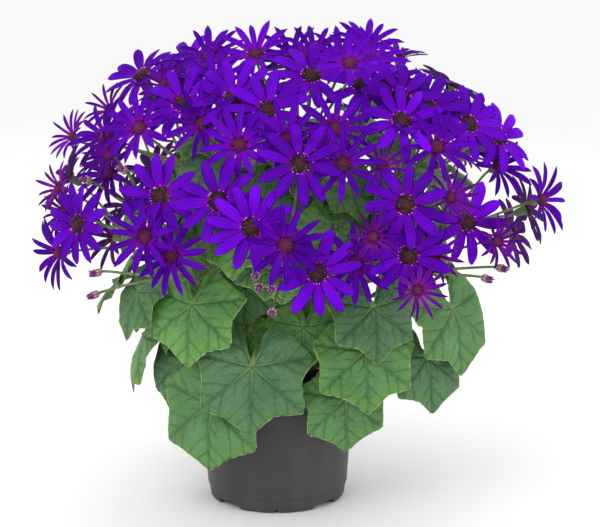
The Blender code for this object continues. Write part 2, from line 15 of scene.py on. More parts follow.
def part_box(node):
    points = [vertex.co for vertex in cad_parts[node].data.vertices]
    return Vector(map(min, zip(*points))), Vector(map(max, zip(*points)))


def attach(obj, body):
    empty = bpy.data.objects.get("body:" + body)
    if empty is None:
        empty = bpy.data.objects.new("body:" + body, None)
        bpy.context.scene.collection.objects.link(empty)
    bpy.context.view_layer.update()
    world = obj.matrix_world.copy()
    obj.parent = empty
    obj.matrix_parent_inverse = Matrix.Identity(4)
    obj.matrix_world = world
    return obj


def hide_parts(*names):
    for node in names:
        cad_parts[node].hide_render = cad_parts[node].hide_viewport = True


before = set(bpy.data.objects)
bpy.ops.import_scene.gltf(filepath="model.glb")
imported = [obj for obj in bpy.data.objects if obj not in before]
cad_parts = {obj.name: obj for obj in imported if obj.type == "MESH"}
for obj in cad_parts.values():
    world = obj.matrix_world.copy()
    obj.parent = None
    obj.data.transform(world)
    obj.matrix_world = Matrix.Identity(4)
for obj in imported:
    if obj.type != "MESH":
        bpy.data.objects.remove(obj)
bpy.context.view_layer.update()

# ---------------------------------------------------------------- camera and light
# The plant is seen from the front, a little from above, as a catalogue shows it,
# on a plain pale floor in the soft light of wide lamps.
MM = 0.001
POT_LOW, POT_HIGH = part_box("pot")
POT_AXIS = np.array([(POT_LOW.x + POT_HIGH.x) / 2, (POT_LOW.y + POT_HIGH.y) / 2, 0])
SENSOR_WIDTH = 36
VIEW_CENTRE = Vector((20, 0, 206))
VIEW_DISTANCE = 1350
VIEW_HEIGHT_ANGLE = math.radians(10.5)
VIEW_WIDTH = 520.2
VIEW_FORWARD = Vector((0, math.cos(VIEW_HEIGHT_ANGLE), -math.sin(VIEW_HEIGHT_ANGLE)))
VIEW_UP = Vector((0, math.sin(VIEW_HEIGHT_ANGLE), math.cos(VIEW_HEIGHT_ANGLE)))
LAMP_AIM = Vector((0, 0, 0.2))
# Each lamp: its place, its width and its power in watts
LAMPS = {
    "key_lamp": ((-0.9, -1.5, 1.7), 1.3, 17),
    "fill_lamp": ((1.4, -1.2, 0.9), 1.4, 5),
    "back_lamp": ((0.5, 1.5, 1.6), 1.4, 8),
}
FLOOR_HALF = 60
FLOOR_DROP = 0.0005
FLOOR_COLOUR = (0.94, 0.94, 0.94, 1)

camera_data = bpy.data.cameras.new("camera")
camera_data.sensor_width = SENSOR_WIDTH
camera_data.lens = SENSOR_WIDTH * VIEW_DISTANCE / VIEW_WIDTH
camera = bpy.data.objects.new("camera", camera_data)
bpy.context.scene.collection.objects.link(camera)
camera.location = (VIEW_CENTRE - VIEW_FORWARD * VIEW_DISTANCE) * MM + Vector(POT_AXIS)
camera.rotation_euler = (math.pi / 2 - VIEW_HEIGHT_ANGLE, 0, 0)
bpy.context.scene.camera = camera

world = bpy.data.worlds.new("studio")
bpy.context.scene.world = world
world.use_nodes = True
sky = world.node_tree.nodes["Background"].inputs
sky["Color"].default_value = (1, 1, 1, 1)
sky["Strength"].default_value = 1.0
bpy.context.scene.view_settings.view_transform = "Standard"

for name, (place, width, power) in LAMPS.items():
    lamp_data = bpy.data.lights.new(name, "AREA")
    lamp_data.size = width
    lamp_data.energy = power
    lamp = bpy.data.objects.new(name, lamp_data)
    bpy.context.scene.collection.objects.link(lamp)
    lamp.location = place
    lamp.rotation_euler = (LAMP_AIM - lamp.location).to_track_quat("-Z", "Y").to_euler()

floor_mesh = bpy.data.meshes.new("floor")
floor_corners = [(x * FLOOR_HALF, y * FLOOR_HALF, 0) for x, y in ((-1, -1), (1, -1), (1, 1), (-1, 1))]
floor_mesh.from_pydata(floor_corners, [], [(0, 1, 2, 3)])
floor = bpy.data.objects.new("floor", floor_mesh)
bpy.context.scene.collection.objects.link(floor)
floor.location.z = -FLOOR_DROP
floor_paint = bpy.data.materials.new("floor_paint")
floor_paint.use_nodes = True
paint = floor_paint.node_tree.nodes["Principled BSDF"].inputs
paint["Base Color"].default_value = FLOOR_COLOUR
paint["Roughness"].default_value = 0.9
floor_mesh.materials.append(floor_paint)

# ---------------------------------------------------------------- nursery pot
# One thin moulding of dark grey polypropylene: rim band, tapering wall, a step near
# the foot, a foot ring cut by four arches and small notches, and drain holes.
POT_HEIGHT = 97
RIM_RADIUS = 69.5
RIM_BAND = 10
WALL_TOP_RADIUS = 66.5
WALL_LOW_RADIUS = 61.5
STEP_HEIGHT = 11
FOOT_RADIUS = 58
FOOT_WIDTH = 4.5
POT_WALL = 1.6
FLOOR_UNDERSIDE = 5
ARCH_HEIGHT = 4.6
ARCH_HALF_TOP = 10
ARCH_HALF_FOOT = 13.6
# Each notch: its angle on the foot, half its width and its height
NOTCHES = ((-19, 4.2, 1.7), (0, 2.8, 3.0), (16.5, 4.2, 1.7))
POT_SEGMENTS = 360
SHARP_EDGE = 38
DRAIN_HOLES = 6
DRAIN_RADIUS = 4.5
DRAIN_SIDES = 24
DRAIN_RING = 40
DRAIN_TURN = 0.4


def cells(index):
    """The four-cornered faces between the neighbouring rows and columns of a grid of points."""
    corners = (index[:-1, :-1], index[:-1, 1:], index[1:, 1:], index[1:, :-1])
    return np.stack(corners, -1).reshape(-1, 4)


def rings(rows, columns, closed=False):
    """Faces over rings of points: the walls, and two caps unless the last ring joins the first."""
    index = np.arange(rows * columns).reshape(rows, columns)
    caps = [] if closed else [index[0][::-1], index[-1]]
    if closed:
        index = np.concatenate([index, index[:1]])
    return [cells(np.concatenate([index, index[:, :1]], 1)), *caps]


def about_axis(radius, turn, height):
    """Points at a radius, a turn and a height about +Z."""
    return np.stack(np.broadcast_arrays(radius * np.cos(turn), radius * np.sin(turn), height), -1)


def add_piece(name, points, faces, finishes, node, marks=None, faces_of=None):
    """A shown piece from points in millimetres, its faces, its finishes and its marks at the points."""
    mesh = bpy.data.meshes.new(name)
    mesh.vertices.add(len(points))
    mesh.vertices.foreach_set("co", (np.asarray(points) * MM + POT_AXIS).astype(np.float32).ravel())
    sizes = np.concatenate([np.full(len(group), group.shape[1]) for group in faces])
    corners = np.concatenate([group.ravel() for group in faces]).astype(np.int32)
    mesh.loops.add(len(corners))
    mesh.loops.foreach_set("vertex_index", corners)
    mesh.polygons.add(len(sizes))
    mesh.polygons.foreach_set("loop_start", (np.cumsum(sizes) - sizes).astype(np.int32))
    for finish in finishes:
        mesh.materials.append(finish)
    if faces_of is not None:
        mesh.polygons.foreach_set("material_index", np.asarray(faces_of, np.int32))
    mesh.update(calc_edges=True)
    mesh.shade_smooth()
    for key, values in (marks or {}).items():
        mark = mesh.attributes.new(key, "FLOAT", "POINT")
        mark.data.foreach_set("value", np.asarray(values, np.float32))
    piece = bpy.data.objects.new(name, mesh)
    bpy.context.scene.collection.objects.link(piece)
    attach(piece, "root")
    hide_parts(node)
    return piece


class Finish:
    """A material whose look is made by nodes, written one call at a time."""

    def __init__(self, name, roughness, specular):
        self.material = bpy.data.materials.new(name)
        self.material.use_nodes = True
        self.tree = self.material.node_tree
        self.shader = self.tree.nodes["Principled BSDF"]
        self.give(self.shader, {"Roughness": roughness, "Specular IOR Level": specular})

    def give(self, node, sockets):
        """Each named socket of the node takes another node's result or a plain value."""
        for name, value in sockets.items():
            if isinstance(value, bpy.types.NodeSocket):
                self.tree.links.new(value, node.inputs[name])
            else:
                node.inputs[name].default_value = value

    def node(self, kind, sockets, **settings):
        node = self.tree.nodes.new("ShaderNode" + kind)
        for name, value in settings.items():
            setattr(node, name, value)
        self.give(node, sockets)
        return node

    def marks(self, *names):
        return [self.node("Attribute", {}, attribute_name=name).outputs["Fac"] for name in names]

    def maths(self, operation, first, second=0.0):
        return self.node("Math", {0: first, 1: second}, operation=operation).outputs[0]

    def times(self, first, second):
        return self.maths("MULTIPLY", first, second)

    def plus(self, first, second):
        return self.maths("ADD", first, second)

    def minus(self, first, second):
        return self.maths("SUBTRACT", first, second)

    def spread(self, value, low, high, to_low=0.0, to_high=1.0):
        """The value eased from one range into another."""
        ends = {"From Min": low, "From Max": high, "To Min": to_low, "To Max": to_high}
        node = self.node("MapRange", {"Value": value, **ends}, interpolation_type="SMOOTHSTEP")
        return node.outputs["Result"]

    def noise(self, scale, detail=3.0, stretch=(1, 1, 1)):
        place = self.node("TexCoord", {}).outputs["Object"]
        place = self.node("Mapping", {"Vector": place, "Scale": stretch}).outputs["Vector"]
        return self.node("TexNoise", {"Vector": place, "Scale": scale, "Detail": detail}).outputs["Fac"]

    def crackle(self, scale, feature="DISTANCE_TO_EDGE"):
        place = self.node("TexCoord", {}).outputs["Object"]
        node = self.node("TexVoronoi", {"Vector": place, "Scale": scale}, feature=feature)
        return node.outputs["Distance"]

    def mix(self, share, first, second, most=None):
        """The second colour laid over the first by a share, which may be scaled to be this much at most."""
        if most is not None:
            share = self.times(share, most)
        first, second = ((*c, 1) if isinstance(c, tuple) else c for c in (first, second))
        node = self.node("Mix", {"Factor": share, "A": first, "B": second}, data_type="RGBA")
        return [out for out in node.outputs if out.type == "RGBA"][0]

    def layers(self, colour, *layers):
        """Layers laid over a colour in turn: each one's share, its colour and, if given, its most."""
        for share, over, *most in layers:
            colour = self.mix(share, colour, over, *most)
        return colour

    def ramp(self, value, *stops):
        """Colours along a value. Each stop is its place, then red, green and blue."""
        node = self.node("ValToRGB", {"Fac": value})
        band = node.color_ramp
        while len(band.elements) < len(stops):
            band.elements.new(0.5)
        for element, (place, *colour) in zip(band.elements, stops):
            element.position = place
            element.color = (*colour, 1)
        return node.outputs["Color"]

    def shade(self, colour, amount):
        """The colour times a number that comes from nodes."""
        return self.node("VectorMath", {0: colour, "Scale": amount}, operation="SCALE").outputs[0]

    def done(self, colour, height, depth, reach, roughness=None):
        """The material with its colour and with bumps that are so strong and reach so many metres."""
        bump = self.node("Bump", {"Height": height, "Strength": depth, "Distance": reach})
        self.give(self.shader, {"Base Color": colour, "Normal": bump.outputs["Normal"]})
        if roughness is not None:
            self.give(self.shader, {"Roughness": roughness})
        return self.material


def pot_profile():
    """The section of the pot from the foot's outer edge up, over the rim, down inside and back under."""
    band_low = POT_HEIGHT - RIM_BAND
    floor_top = FLOOR_UNDERSIDE + POT_WALL
    foot_inside = FOOT_RADIUS - FOOT_WIDTH
    inner_low = WALL_LOW_RADIUS - POT_WALL
    low, flare = WALL_LOW_RADIUS + 0.1, WALL_TOP_RADIUS - WALL_LOW_RADIUS - 0.1
    rise = band_low - STEP_HEIGHT - 2
    wall = [(low + flare * share, STEP_HEIGHT + 2 + rise * share) for share in (0.2, 0.4, 0.6, 0.8, 0.97)]
    # Each stretch: the radius and height that it is measured from, then its points
    stretches = (
        (FOOT_RADIUS, 0, (-0.6, 0), (0.3, 0.3), (1.0, 1.2), (1.3, 2.6), (1.7, ARCH_HEIGHT + 0.3), (2.1, 8)),
        (WALL_LOW_RADIUS, STEP_HEIGHT, (-1.1, -0.5), (-0.8, 0.3), (-0.1, 1.3), (0.1, 2.0)),
        (0, 0, *wall),
        (WALL_TOP_RADIUS, band_low, (0.2, -0.5)),
        (RIM_RADIUS, band_low, (-1.2, -0.1), (-0.5, 0.5), (-0.4, 3)),
        (RIM_RADIUS, POT_HEIGHT, (-0.2, -2.6), (-0.5, -2.2), (-0.1, -1.8), (0, -0.9), (-0.4, -0.2),
         (-1.2, 0), (-2.0, -0.1), (-2.5, -0.7), (-3.0, -5)),
        (inner_low, 0, (4.2, 70), (2, 40), (0, STEP_HEIGHT + 3), (-0.8, STEP_HEIGHT)),
        (FOOT_RADIUS, floor_top, (-3, 0.6), (-4, 0)),
        (0, floor_top, (DRAIN_RING, 0), (12, 0.6), (11, 1.4), (2, 1.4)),
        (0, FLOOR_UNDERSIDE, (2, 0.6), (10, 0.6), (11, 0), (DRAIN_RING, 0)),
        (foot_inside, FLOOR_UNDERSIDE, (-0.5, 0), (0, -0.5)),
        (foot_inside, 0, (0.1, 1.0), (0.5, 0.2), (1.1, 0)),
    )
    return np.array([(r + out, z + up) for r, z, *spots in stretches for out, up in spots])


def foot_lift(turn):
    """How far the foot's edge is raised at an angle in degrees, by the arches and the notches."""
    from_arch = np.abs((turn + 90) % 90 - 45)
    lift = np.clip((ARCH_HALF_FOOT - from_arch) / (ARCH_HALF_FOOT - ARCH_HALF_TOP), 0, 1) * ARCH_HEIGHT
    from_foot = (turn + 90 + 45) % 90 - 45
    for notch, half_width, notch_height in NOTCHES:
        off = np.abs(from_foot - notch) * math.radians(1) * FOOT_RADIUS
        lift = np.maximum(lift, np.clip(1.5 - 1.5 * off / half_width, 0, 1) * notch_height)
    return lift


def build_pot():
    profile = pot_profile()
    turns = np.arange(POT_SEGMENTS) * 360 / POT_SEGMENTS
    height = profile[:, 1:] * np.ones(POT_SEGMENTS)
    in_foot = (profile[:, 0] > FOOT_RADIUS - FOOT_WIDTH - 0.2) & (profile[:, 1] < ARCH_HEIGHT + 0.2)
    height[in_foot] = np.maximum(height[in_foot], foot_lift(turns) + profile[in_foot, 1:] * 0.04)
    points = about_axis(profile[:, :1], np.radians(turns), height).reshape(-1, 3)
    walls = rings(len(profile), POT_SEGMENTS, closed=True)[0]

    plastic = Finish("dark_grey_plastic", 0.5, 0.45)
    cloud = plastic.noise(14, 4)
    grain = plastic.noise(900, 2)
    flow = plastic.noise(60, 3, (1, 1, 0.08))
    tone = plastic.ramp(cloud, (0.3, 0.036, 0.033, 0.035), (0.7, 0.052, 0.048, 0.051))
    tone = plastic.layers(
        tone, (plastic.spread(flow, 0.45, 0.75, 0, 0.35), (0.065, 0.061, 0.063)),
        (plastic.spread(grain, 0.6, 0.8, 0, 0.25), (0.11, 0.105, 0.105)),
    )
    gloss = plastic.spread(cloud, 0.3, 0.7, 0.46, 0.6)
    material = plastic.done(tone, grain, 0.15, 0.0003, gloss)
    pot = add_piece("pot_shell", points, [walls[:, ::-1]], [material], "pot")

    for hole in range(DRAIN_HOLES):
        turn = 2 * math.pi * (hole + DRAIN_TURN) / DRAIN_HOLES
        place = Vector((math.cos(turn), math.sin(turn), 0)) * DRAIN_RING * MM + Vector(POT_AXIS)
        bpy.ops.mesh.primitive_cylinder_add(
            vertices=DRAIN_SIDES, radius=DRAIN_RADIUS * MM, depth=0.03, location=place,
        )
        cutter = bpy.context.object
        cut = pot.modifiers.new("drain", "BOOLEAN")
        cut.operation = "DIFFERENCE"
        cut.object = cutter
        bpy.context.view_layer.objects.active = pot
        bpy.ops.object.modifier_apply(modifier=cut.name)
        bpy.data.objects.remove(cutter)
    pot.data.set_sharp_from_angle(angle=math.radians(SHARP_EDGE))


build_pot()

# ---------------------------------------------------------------- potting soil
# Dark peat with bark crumbs and a little perlite, pressed in just below the rim
# and heaped slightly round the crown.
SOIL_LEVEL = 84
SOIL_CROWN = 6
HEAP_WIDTH = 30
SOIL_TOP_RADIUS = 64.2
SOIL_LOW_RADIUS = 58.4
SOIL_BOTTOM = FLOOR_UNDERSIDE + POT_WALL + 0.3
SOIL_SEGMENTS = 160
SOIL_RADII = (*range(2, 59, 4), 61, 63, SOIL_TOP_RADIUS)
SOIL_SIDE = ((SOIL_TOP_RADIUS - 0.4, 78), (SOIL_LOW_RADIUS, 14), (50, SOIL_BOTTOM), (2, SOIL_BOTTOM))
CRUMBS = 620
CRUMB_SIZES = (0.9, 3.0)


def ripples(points, length, seed):
    """Smooth uneven heights from -1 to 1 over points in millimetres, about length apart."""
    chance = np.random.default_rng(seed)
    total = np.zeros(len(points))
    for _ in range(14):
        way = chance.normal(size=points.shape[1])
        way /= np.linalg.norm(way)
        span, start = length * chance.uniform(0.7, 1.6), chance.uniform(0, 7)
        total += np.cos(points @ way * 2 * math.pi / span + start)
    return total / 5


def lump_points(chance, count, low, high):
    """Uneven eight-sided crumbs about the origin: their points, sized from low to high."""
    corners = [(0, 0, 1.0), (0, 0, -1.0)]
    for k in range(6):
        corners.append((math.cos(k * math.pi / 3) * 0.9, math.sin(k * math.pi / 3) * 0.9, (-1) ** k * 0.25))
    size = chance.uniform(low, high, (count, 1, 1)) * chance.uniform(0.6, 1.2, (count, 1, 3))
    points = np.array(corners) * size * chance.uniform(0.75, 1.2, (count, 8, 1))
    turn = chance.uniform(0, 2 * math.pi, count)
    tilt = chance.uniform(-1, 1, count)
    cos, sin = np.cos(turn)[:, None], np.sin(turn)[:, None]
    x, y = points[..., 0] * cos - points[..., 1] * sin, points[..., 0] * sin + points[..., 1] * cos
    cos, sin = np.cos(tilt)[:, None], np.sin(tilt)[:, None]
    return np.stack([x, y * cos - points[..., 2] * sin, y * sin + points[..., 2] * cos], -1)


def heap(radius):
    """The soil's height at a radius, without its lumps."""
    return SOIL_LEVEL + SOIL_CROWN * np.exp(-(radius / HEAP_WIDTH) ** 2)


def build_soil():
    angle = np.arange(SOIL_SEGMENTS) * 2 * math.pi / SOIL_SEGMENTS
    rows = []
    for radius in np.array(SOIL_RADII):
        ring = about_axis(radius, angle, heap(radius) - 1.5 * (radius / SOIL_TOP_RADIUS) ** 6)
        keep = 1 if radius < SOIL_TOP_RADIUS - 2 else 0.3
        ring[:, 2] += (ripples(ring[:, :2], 9, 1) * 0.9 + ripples(ring[:, :2], 3.4, 2) * 0.6) * keep
        rows.append(ring)
    rows += [about_axis(radius, angle, height) for radius, height in SOIL_SIDE]
    walls = rings(len(rows), SOIL_SEGMENTS, closed=True)[0]

    peat = Finish("potting_peat", 0.95, 0.2)
    clump = peat.noise(120, 5)
    speck = peat.crackle(420, "F1")
    tone = peat.ramp(
        clump, (0.3, 0.012, 0.008, 0.006), (0.55, 0.035, 0.022, 0.014), (0.75, 0.07, 0.045, 0.028),
    )
    tone = peat.mix(peat.spread(speck, 0.1, 0.35, 0.5, 0), tone, (0.09, 0.06, 0.035))
    bed = [peat.done(tone, clump, 0.8, 0.002)]
    add_piece("soil_bed", np.concatenate(rows), [walls[:, ::-1]], bed, "potting_soil")

    chance = np.random.default_rng(8)
    far = SOIL_TOP_RADIUS * np.sqrt(chance.uniform(0.03, 0.93, CRUMBS))
    place = about_axis(far, chance.uniform(0, 2 * math.pi, CRUMBS), 0)
    place[:, 2] = heap(far) + ripples(place[:, :2], 9, 1) * 0.9 + 0.2
    lumps = lump_points(chance, CRUMBS, *CRUMB_SIZES) * np.array([1, 1, 0.6]) + place[:, None]
    around = [(2 + k, 2 + (k + 1) % 6) for k in range(6)]
    sides = np.array([(0, a, b) for a, b in around] + [(1, b, a) for a, b in around])
    faces = (sides[None] + np.arange(CRUMBS)[:, None, None] * 8).reshape(-1, 3)
    marks = {"tone": np.repeat(chance.uniform(0, 1, CRUMBS), 8)}

    crumb = Finish("bark_and_perlite", 0.9, 0.25)
    tone, = crumb.marks("tone")
    colour = crumb.ramp(
        tone, (0.0, 0.02, 0.012, 0.008), (0.5, 0.06, 0.035, 0.02),
        (0.88, 0.12, 0.07, 0.035), (0.9, 0.6, 0.58, 0.52),
    )
    colour = crumb.mix(crumb.spread(crumb.noise(500, 3), 0.4, 0.7, 0, 0.5), colour, (0.03, 0.02, 0.013))
    bark = [crumb.done(colour, crumb.noise(700, 2), 0.5, 0.0006)]
    add_piece("soil_crumbs", lumps.reshape(-1, 3), [faces], bark, "potting_soil", marks)


build_soil()

# ---------------------------------------------------------------- where the blooms stand
# The plant grows as a dome. Each bloom is listed by where the viewer sees it, and the
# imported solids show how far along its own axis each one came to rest.
GOLDEN_ANGLE = math.pi * (3 - math.sqrt(5))
FORK = Vector((0, 0, 128))
CROWN_RADIUS = 8
STEM_SHARE = 0.56
STEM_ARCH = 34
STEM_ARCH_SPAN = 260
STALK_SHARE = 0.4
FIRST_STALK = (0.35, 0.6)
ELBOW_SHARE = 0.4
CORYMB_COUNT = 21
CORYMB_HEIGHTS = (0.97, 1.2)
DISC_RISE = 3
BUD_TIP_HEIGHT = 7.8
DOME_CENTRE = Vector((22, 0, 235))
DOME_RADII = Vector((201, 188, 164))
BLOOM_DEPTHS = (0, -4, 4, -8, 8, -12, -16, 12, -20, -24, 16, -28, -32, 20, -36, 24)
BLOOM_LEANS = ((0, 0), (12, 0), (12, 90), (12, 180), (12, 270), (22, 45), (22, 135), (22, 225), (22, 315))
# Each run: the kind of its blooms, then how far each stands across and up in the view
BLOOMS = (
    ("open", (-71, 54), (91, 51), (15, -8), (-121, 58), (95, 7), (151, 37), (0, 85), (-57, 144), (86, 142),
     (88, 123), (10, 163), (146, 121), (-102, 139), (-192, 34), (112, 137), (-95, 175), (-28, 133),
     (-137, 163), (-42, 31)),
    ("half", (52, -2)),
    ("open", (172, 109), (55, 156)),
    ("half", (-10, 107), (-85, 123), (-53, 104), (-137, 115), (-134, 24), (-120, 6), (-12, 16), (37, 86),
     (31, 118), (40, 157), (-75, 161), (-108, 174), (-79, 179), (37, 183), (112, 152), (118, 101),
     (209, 55), (-38, 181), (-7, 189), (12, 183), (58, 187), (62, 175), (82, 173), (-169, 110), (-179, 85)),
    ("star", (-204, 45)),
    ("half", (-205, 10), (183, 90)),
    ("star", (-117, 155), (75, 89), (-168, 136), (-197, 110), (-208, 65), (132, 139), (130, 57), (170, 19),
     (119, 7), (100, -22), (63, 23), (-165, 93)),
    ("bud", (-38, -10), (-35, -20), (-24, -22), (-14, -10), (-24, -42), (-176, -8), (-178, -27), (-184, 72),
     (-153, 81), (-147, 45), (-115, 48), (-3, 185), (122, 87), (174, -4), (161, -13)),
)
BACK_BLOOMS = 28
BACK_HEIGHTS = (0.93, 1.1)
BACK_KINDS = ("rear", "half", "rear", "half", "star")
BACK_SHIFT = 0.04
VIEWER_PULL = 0.7
SKY_PULL = 0.25


def squeezed(point):
    """The dome as a unit ball."""
    return Vector([(point[i] - DOME_CENTRE[i]) / DOME_RADII[i] for i in range(3)])


def on_dome(direction):
    """The dome's point and outward normal along a direction of the unit ball."""
    unit = direction.normalized()
    point = Vector([DOME_CENTRE[i] + unit[i] * DOME_RADII[i] for i in range(3)])
    normal = Vector([unit[i] / DOME_RADII[i] for i in range(3)]).normalized()
    return point, normal


def even_spread(count, top, fall):
    """Heights and turns of points spread evenly over the unit ball, from a top height down."""
    return [(top - fall * (i + 0.5) / count, i * GOLDEN_ANGLE) for i in range(count)]


def ball_point(height, turn, squash=1.0, shift=0.0):
    """A point of the unit ball at a height and a turn, squashed and shifted towards the back."""
    spread = math.sqrt(1 - height * height)
    return Vector((spread * math.cos(turn), spread * math.sin(turn) * squash + shift, height))


def seen_on_dome(across, up_by):
    """Where the viewer's line of sight meets the near side of the dome, or passes closest."""
    eye = VIEW_CENTRE - VIEW_FORWARD * VIEW_DISTANCE
    target = VIEW_CENTRE + Vector((1, 0, 0)) * across + VIEW_UP * up_by
    start = squeezed(eye)
    run = squeezed(target) - start
    a, b, c = run.dot(run), 2 * start.dot(run), start.dot(start) - 1
    inside = b * b - 4 * a * c
    t = (-b - math.sqrt(max(inside, 0))) / (2 * a)
    near = start + run * t
    point, normal = on_dome(near)
    return DOME_CENTRE + (point - DOME_CENTRE) * max(1, near.length), normal


def bloom_places():
    """Every head and bud: its kind, its point on the dome and the way it faces."""
    places = []
    for kind, *spots in BLOOMS:
        for across, up in spots:
            point, outward = seen_on_dome(across, up)
            places.append((kind, point, (outward - VIEW_FORWARD * VIEWER_PULL).normalized()))
    chance = random.Random(5)
    for height, turn in even_spread(BACK_BLOOMS, *BACK_HEIGHTS):
        kind = BACK_KINDS[chance.randrange(len(BACK_KINDS))]
        point, outward = on_dome(ball_point(height, turn % math.pi, 1 - BACK_SHIFT, BACK_SHIFT))
        places.append((kind, point, (outward + Vector((0, 0, SKY_PULL))).normalized()))
    return places


def bunches_of(places):
    """The blooms shared out among corymbs whose seats are spread evenly over the dome."""
    seats = [on_dome(ball_point(*spot))[0] for spot in even_spread(CORYMB_COUNT, *CORYMB_HEIGHTS)]
    bunches = [[] for _ in seats]
    for place in places:
        nearest = min(range(len(seats)), key=lambda i: (seats[i] - place[1]).length)
        bunches[nearest].append(place)
    return [bunch for bunch in bunches if bunch]


def corners_of(node):
    """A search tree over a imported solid's corners, in millimetres about the pot's axis."""
    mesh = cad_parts[node].data
    places = np.empty(len(mesh.vertices) * 3, np.float32)
    mesh.vertices.foreach_get("co", places)
    places = (places.reshape(-1, 3) - POT_AXIS) / MM
    tree = KDTree(len(places))
    for number, place in enumerate(places):
        tree.insert(place, number)
    tree.balance()
    return tree


def at_rest(corners, kind, point, outward):
    """The seat and axis of a bloom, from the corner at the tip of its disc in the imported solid."""
    sideways = outward.orthogonal().normalized()
    tip = BUD_TIP_HEIGHT if kind == "bud" else DISC_RISE
    nearest, best = math.inf, None
    for tilt, turn in BLOOM_LEANS:
        lean = Matrix.Rotation(math.radians(tilt), 3, sideways)
        axis = Matrix.Rotation(math.radians(turn), 3, outward) @ (lean @ outward)
        for depth in BLOOM_DEPTHS:
            seat = point + outward * depth
            miss = corners.find(seat + axis * tip)[2]
            if miss < nearest - 0.001:
                nearest, best = miss, (seat, axis)
    return best


corymbs = []
for number, bunch in enumerate(bunches_of(bloom_places())):
    corners = corners_of(f"corymb_{number + 1:02d}")
    middle = sum((place[1] for place in bunch), Vector()) / len(bunch)
    root = FORK.lerp(middle, STEM_SHARE)
    root.z += STEM_ARCH * max(0, 1 - (middle.z - FORK.z) / STEM_ARCH_SPAN)
    top = root.lerp(middle, STALK_SHARE)
    blooms = []
    for order, (kind, point, outward) in enumerate(bunch):
        start = root.lerp(top, FIRST_STALK[0] + FIRST_STALK[1] * (order + 1) / (len(bunch) + 1))
        blooms.append((kind, *at_rest(corners, kind, point, outward), number + order * 1.7, start))
    corymbs.append((root, top, blooms))

# ---------------------------------------------------------------- crown and stems
# One ribbed green crown rises from the soil and forks into a stem for every corymb;
# the stems are fleshy, slightly ridged, and flushed with purple near the fork.
CROWN_PATH = ((0, 0, 41), (0, 0, 70), (0, 0, 92), (0.6, 0.4, 108), (-0.4, 0.3, 122), (0, 0, 134))
CROWN_RADII = (6.6, 6.9, 7.0, 6.4, 6.6, 4.6)
STEM_RADII = (3.2, 2.6, 2.3, 2.0)


def rounded(points, times=3):
    """The path with its corners cut, over and over, until it bends smoothly."""
    points = [np.array(p, float) for p in points]
    for _ in range(times):
        cut = [points[0]]
        for a, b in zip(points, points[1:]):
            cut += [a * 0.75 + b * 0.25, a * 0.25 + b * 0.75]
        points = cut + [points[-1]]
    return np.array(points)


def tube(path, radii, sides, ribs=0, rib_depth=0.0):
    """A closed tube along a path: its points, its faces and how far along each point is."""
    path = np.asarray(path, float)
    radii = np.interp(np.linspace(0, 1, len(path)), np.linspace(0, 1, len(radii)), radii)
    runs = np.gradient(path, axis=0)
    runs /= np.linalg.norm(runs, axis=1)[:, None]
    side = np.array([0.31, 0.17, 0.93])
    turns = np.arange(sides) * 2 * math.pi / sides
    rows = []
    for point, run, radius in zip(path, runs, radii):
        side = side - run * side.dot(run)
        side /= np.linalg.norm(side)
        other = np.cross(run, side)
        wide = radius * (1 + rib_depth * np.cos(ribs * turns))
        x, y = np.cos(turns) * wide, np.sin(turns) * wide
        rows.append(point + x[:, None] * side + y[:, None] * other)
    first, last = (path[end] * 0.6 + rows[end] * 0.4 for end in (0, -1))
    rows = [first, *rows, last]
    along = np.repeat(np.linspace(0, 1, len(rows)), sides)
    return np.concatenate(rows), rings(len(rows), sides), along


class Gathered:
    """Points, faces and marks of many small solids, gathered into one piece."""

    def __init__(self, *marks):
        self.points, self.faces, self.which, self.count = [], {}, {}, 0
        self.marks = {mark: [] for mark in marks}

    def add(self, points, groups, marks, finish=0):
        """One more solid. A mark that isn't given is 0; each group of faces may have its own finish."""
        for group, own in zip(groups, np.broadcast_to(finish, len(groups))):
            group = np.atleast_2d(group)
            self.faces.setdefault(group.shape[1], []).append(group + self.count)
            self.which.setdefault(group.shape[1], []).append(np.full(len(group), own))
        self.points.append(points)
        for mark, values in self.marks.items():
            values.append(np.broadcast_to(marks.get(mark, 0), len(points)))
        self.count += len(points)

    def piece(self, name, finishes, node, slot):
        faces = [np.concatenate(group) for group in self.faces.values()]
        which = np.concatenate([np.concatenate(group) for group in self.which.values()])
        marks = {mark: np.concatenate(values) for mark, values in self.marks.items()}
        add_piece(name, np.concatenate(self.points), faces, finishes, node, marks, which)


def stem_finish():
    skin = Finish("stem_skin", 0.5, 0.4)
    streak = skin.noise(300, 2, (1, 1, 0.15))
    along, = skin.marks("along")
    colour = skin.layers(
        skin.ramp(along, (0.0, 0.1, 0.15, 0.045), (0.4, 0.12, 0.2, 0.06), (1.0, 0.14, 0.24, 0.07)),
        (skin.spread(skin.noise(70, 3), 0.5, 0.75, 0, 0.3), (0.16, 0.1, 0.09)),
        (skin.spread(streak, 0.45, 0.7, 0, 0.4), (0.22, 0.32, 0.12)),
    )
    return skin.done(colour, streak, 0.35, 0.0006)


def stem_path(root, top):
    """A corymb's stem from the fork out to where its stalks begin."""
    run = (top - root).normalized()
    tip = root - run * 0.5
    elbow = tip - run * (tip - FORK).length * ELBOW_SHARE
    return [FORK, elbow, tip]


stem_skin = stem_finish()
wood = Gathered("along")
points, faces, along = tube(rounded(CROWN_PATH), CROWN_RADII, 24, ribs=6, rib_depth=0.06)
wood.add(points, faces, {"along": along * 0.2})
for root, top, _ in corymbs:
    points, faces, along = tube(rounded(stem_path(root, top)), STEM_RADII, 12, ribs=5, rib_depth=0.08)
    wood.add(points, faces, {"along": along})
wood.piece("stem_branches", [stem_skin], "stem", "stem_green")

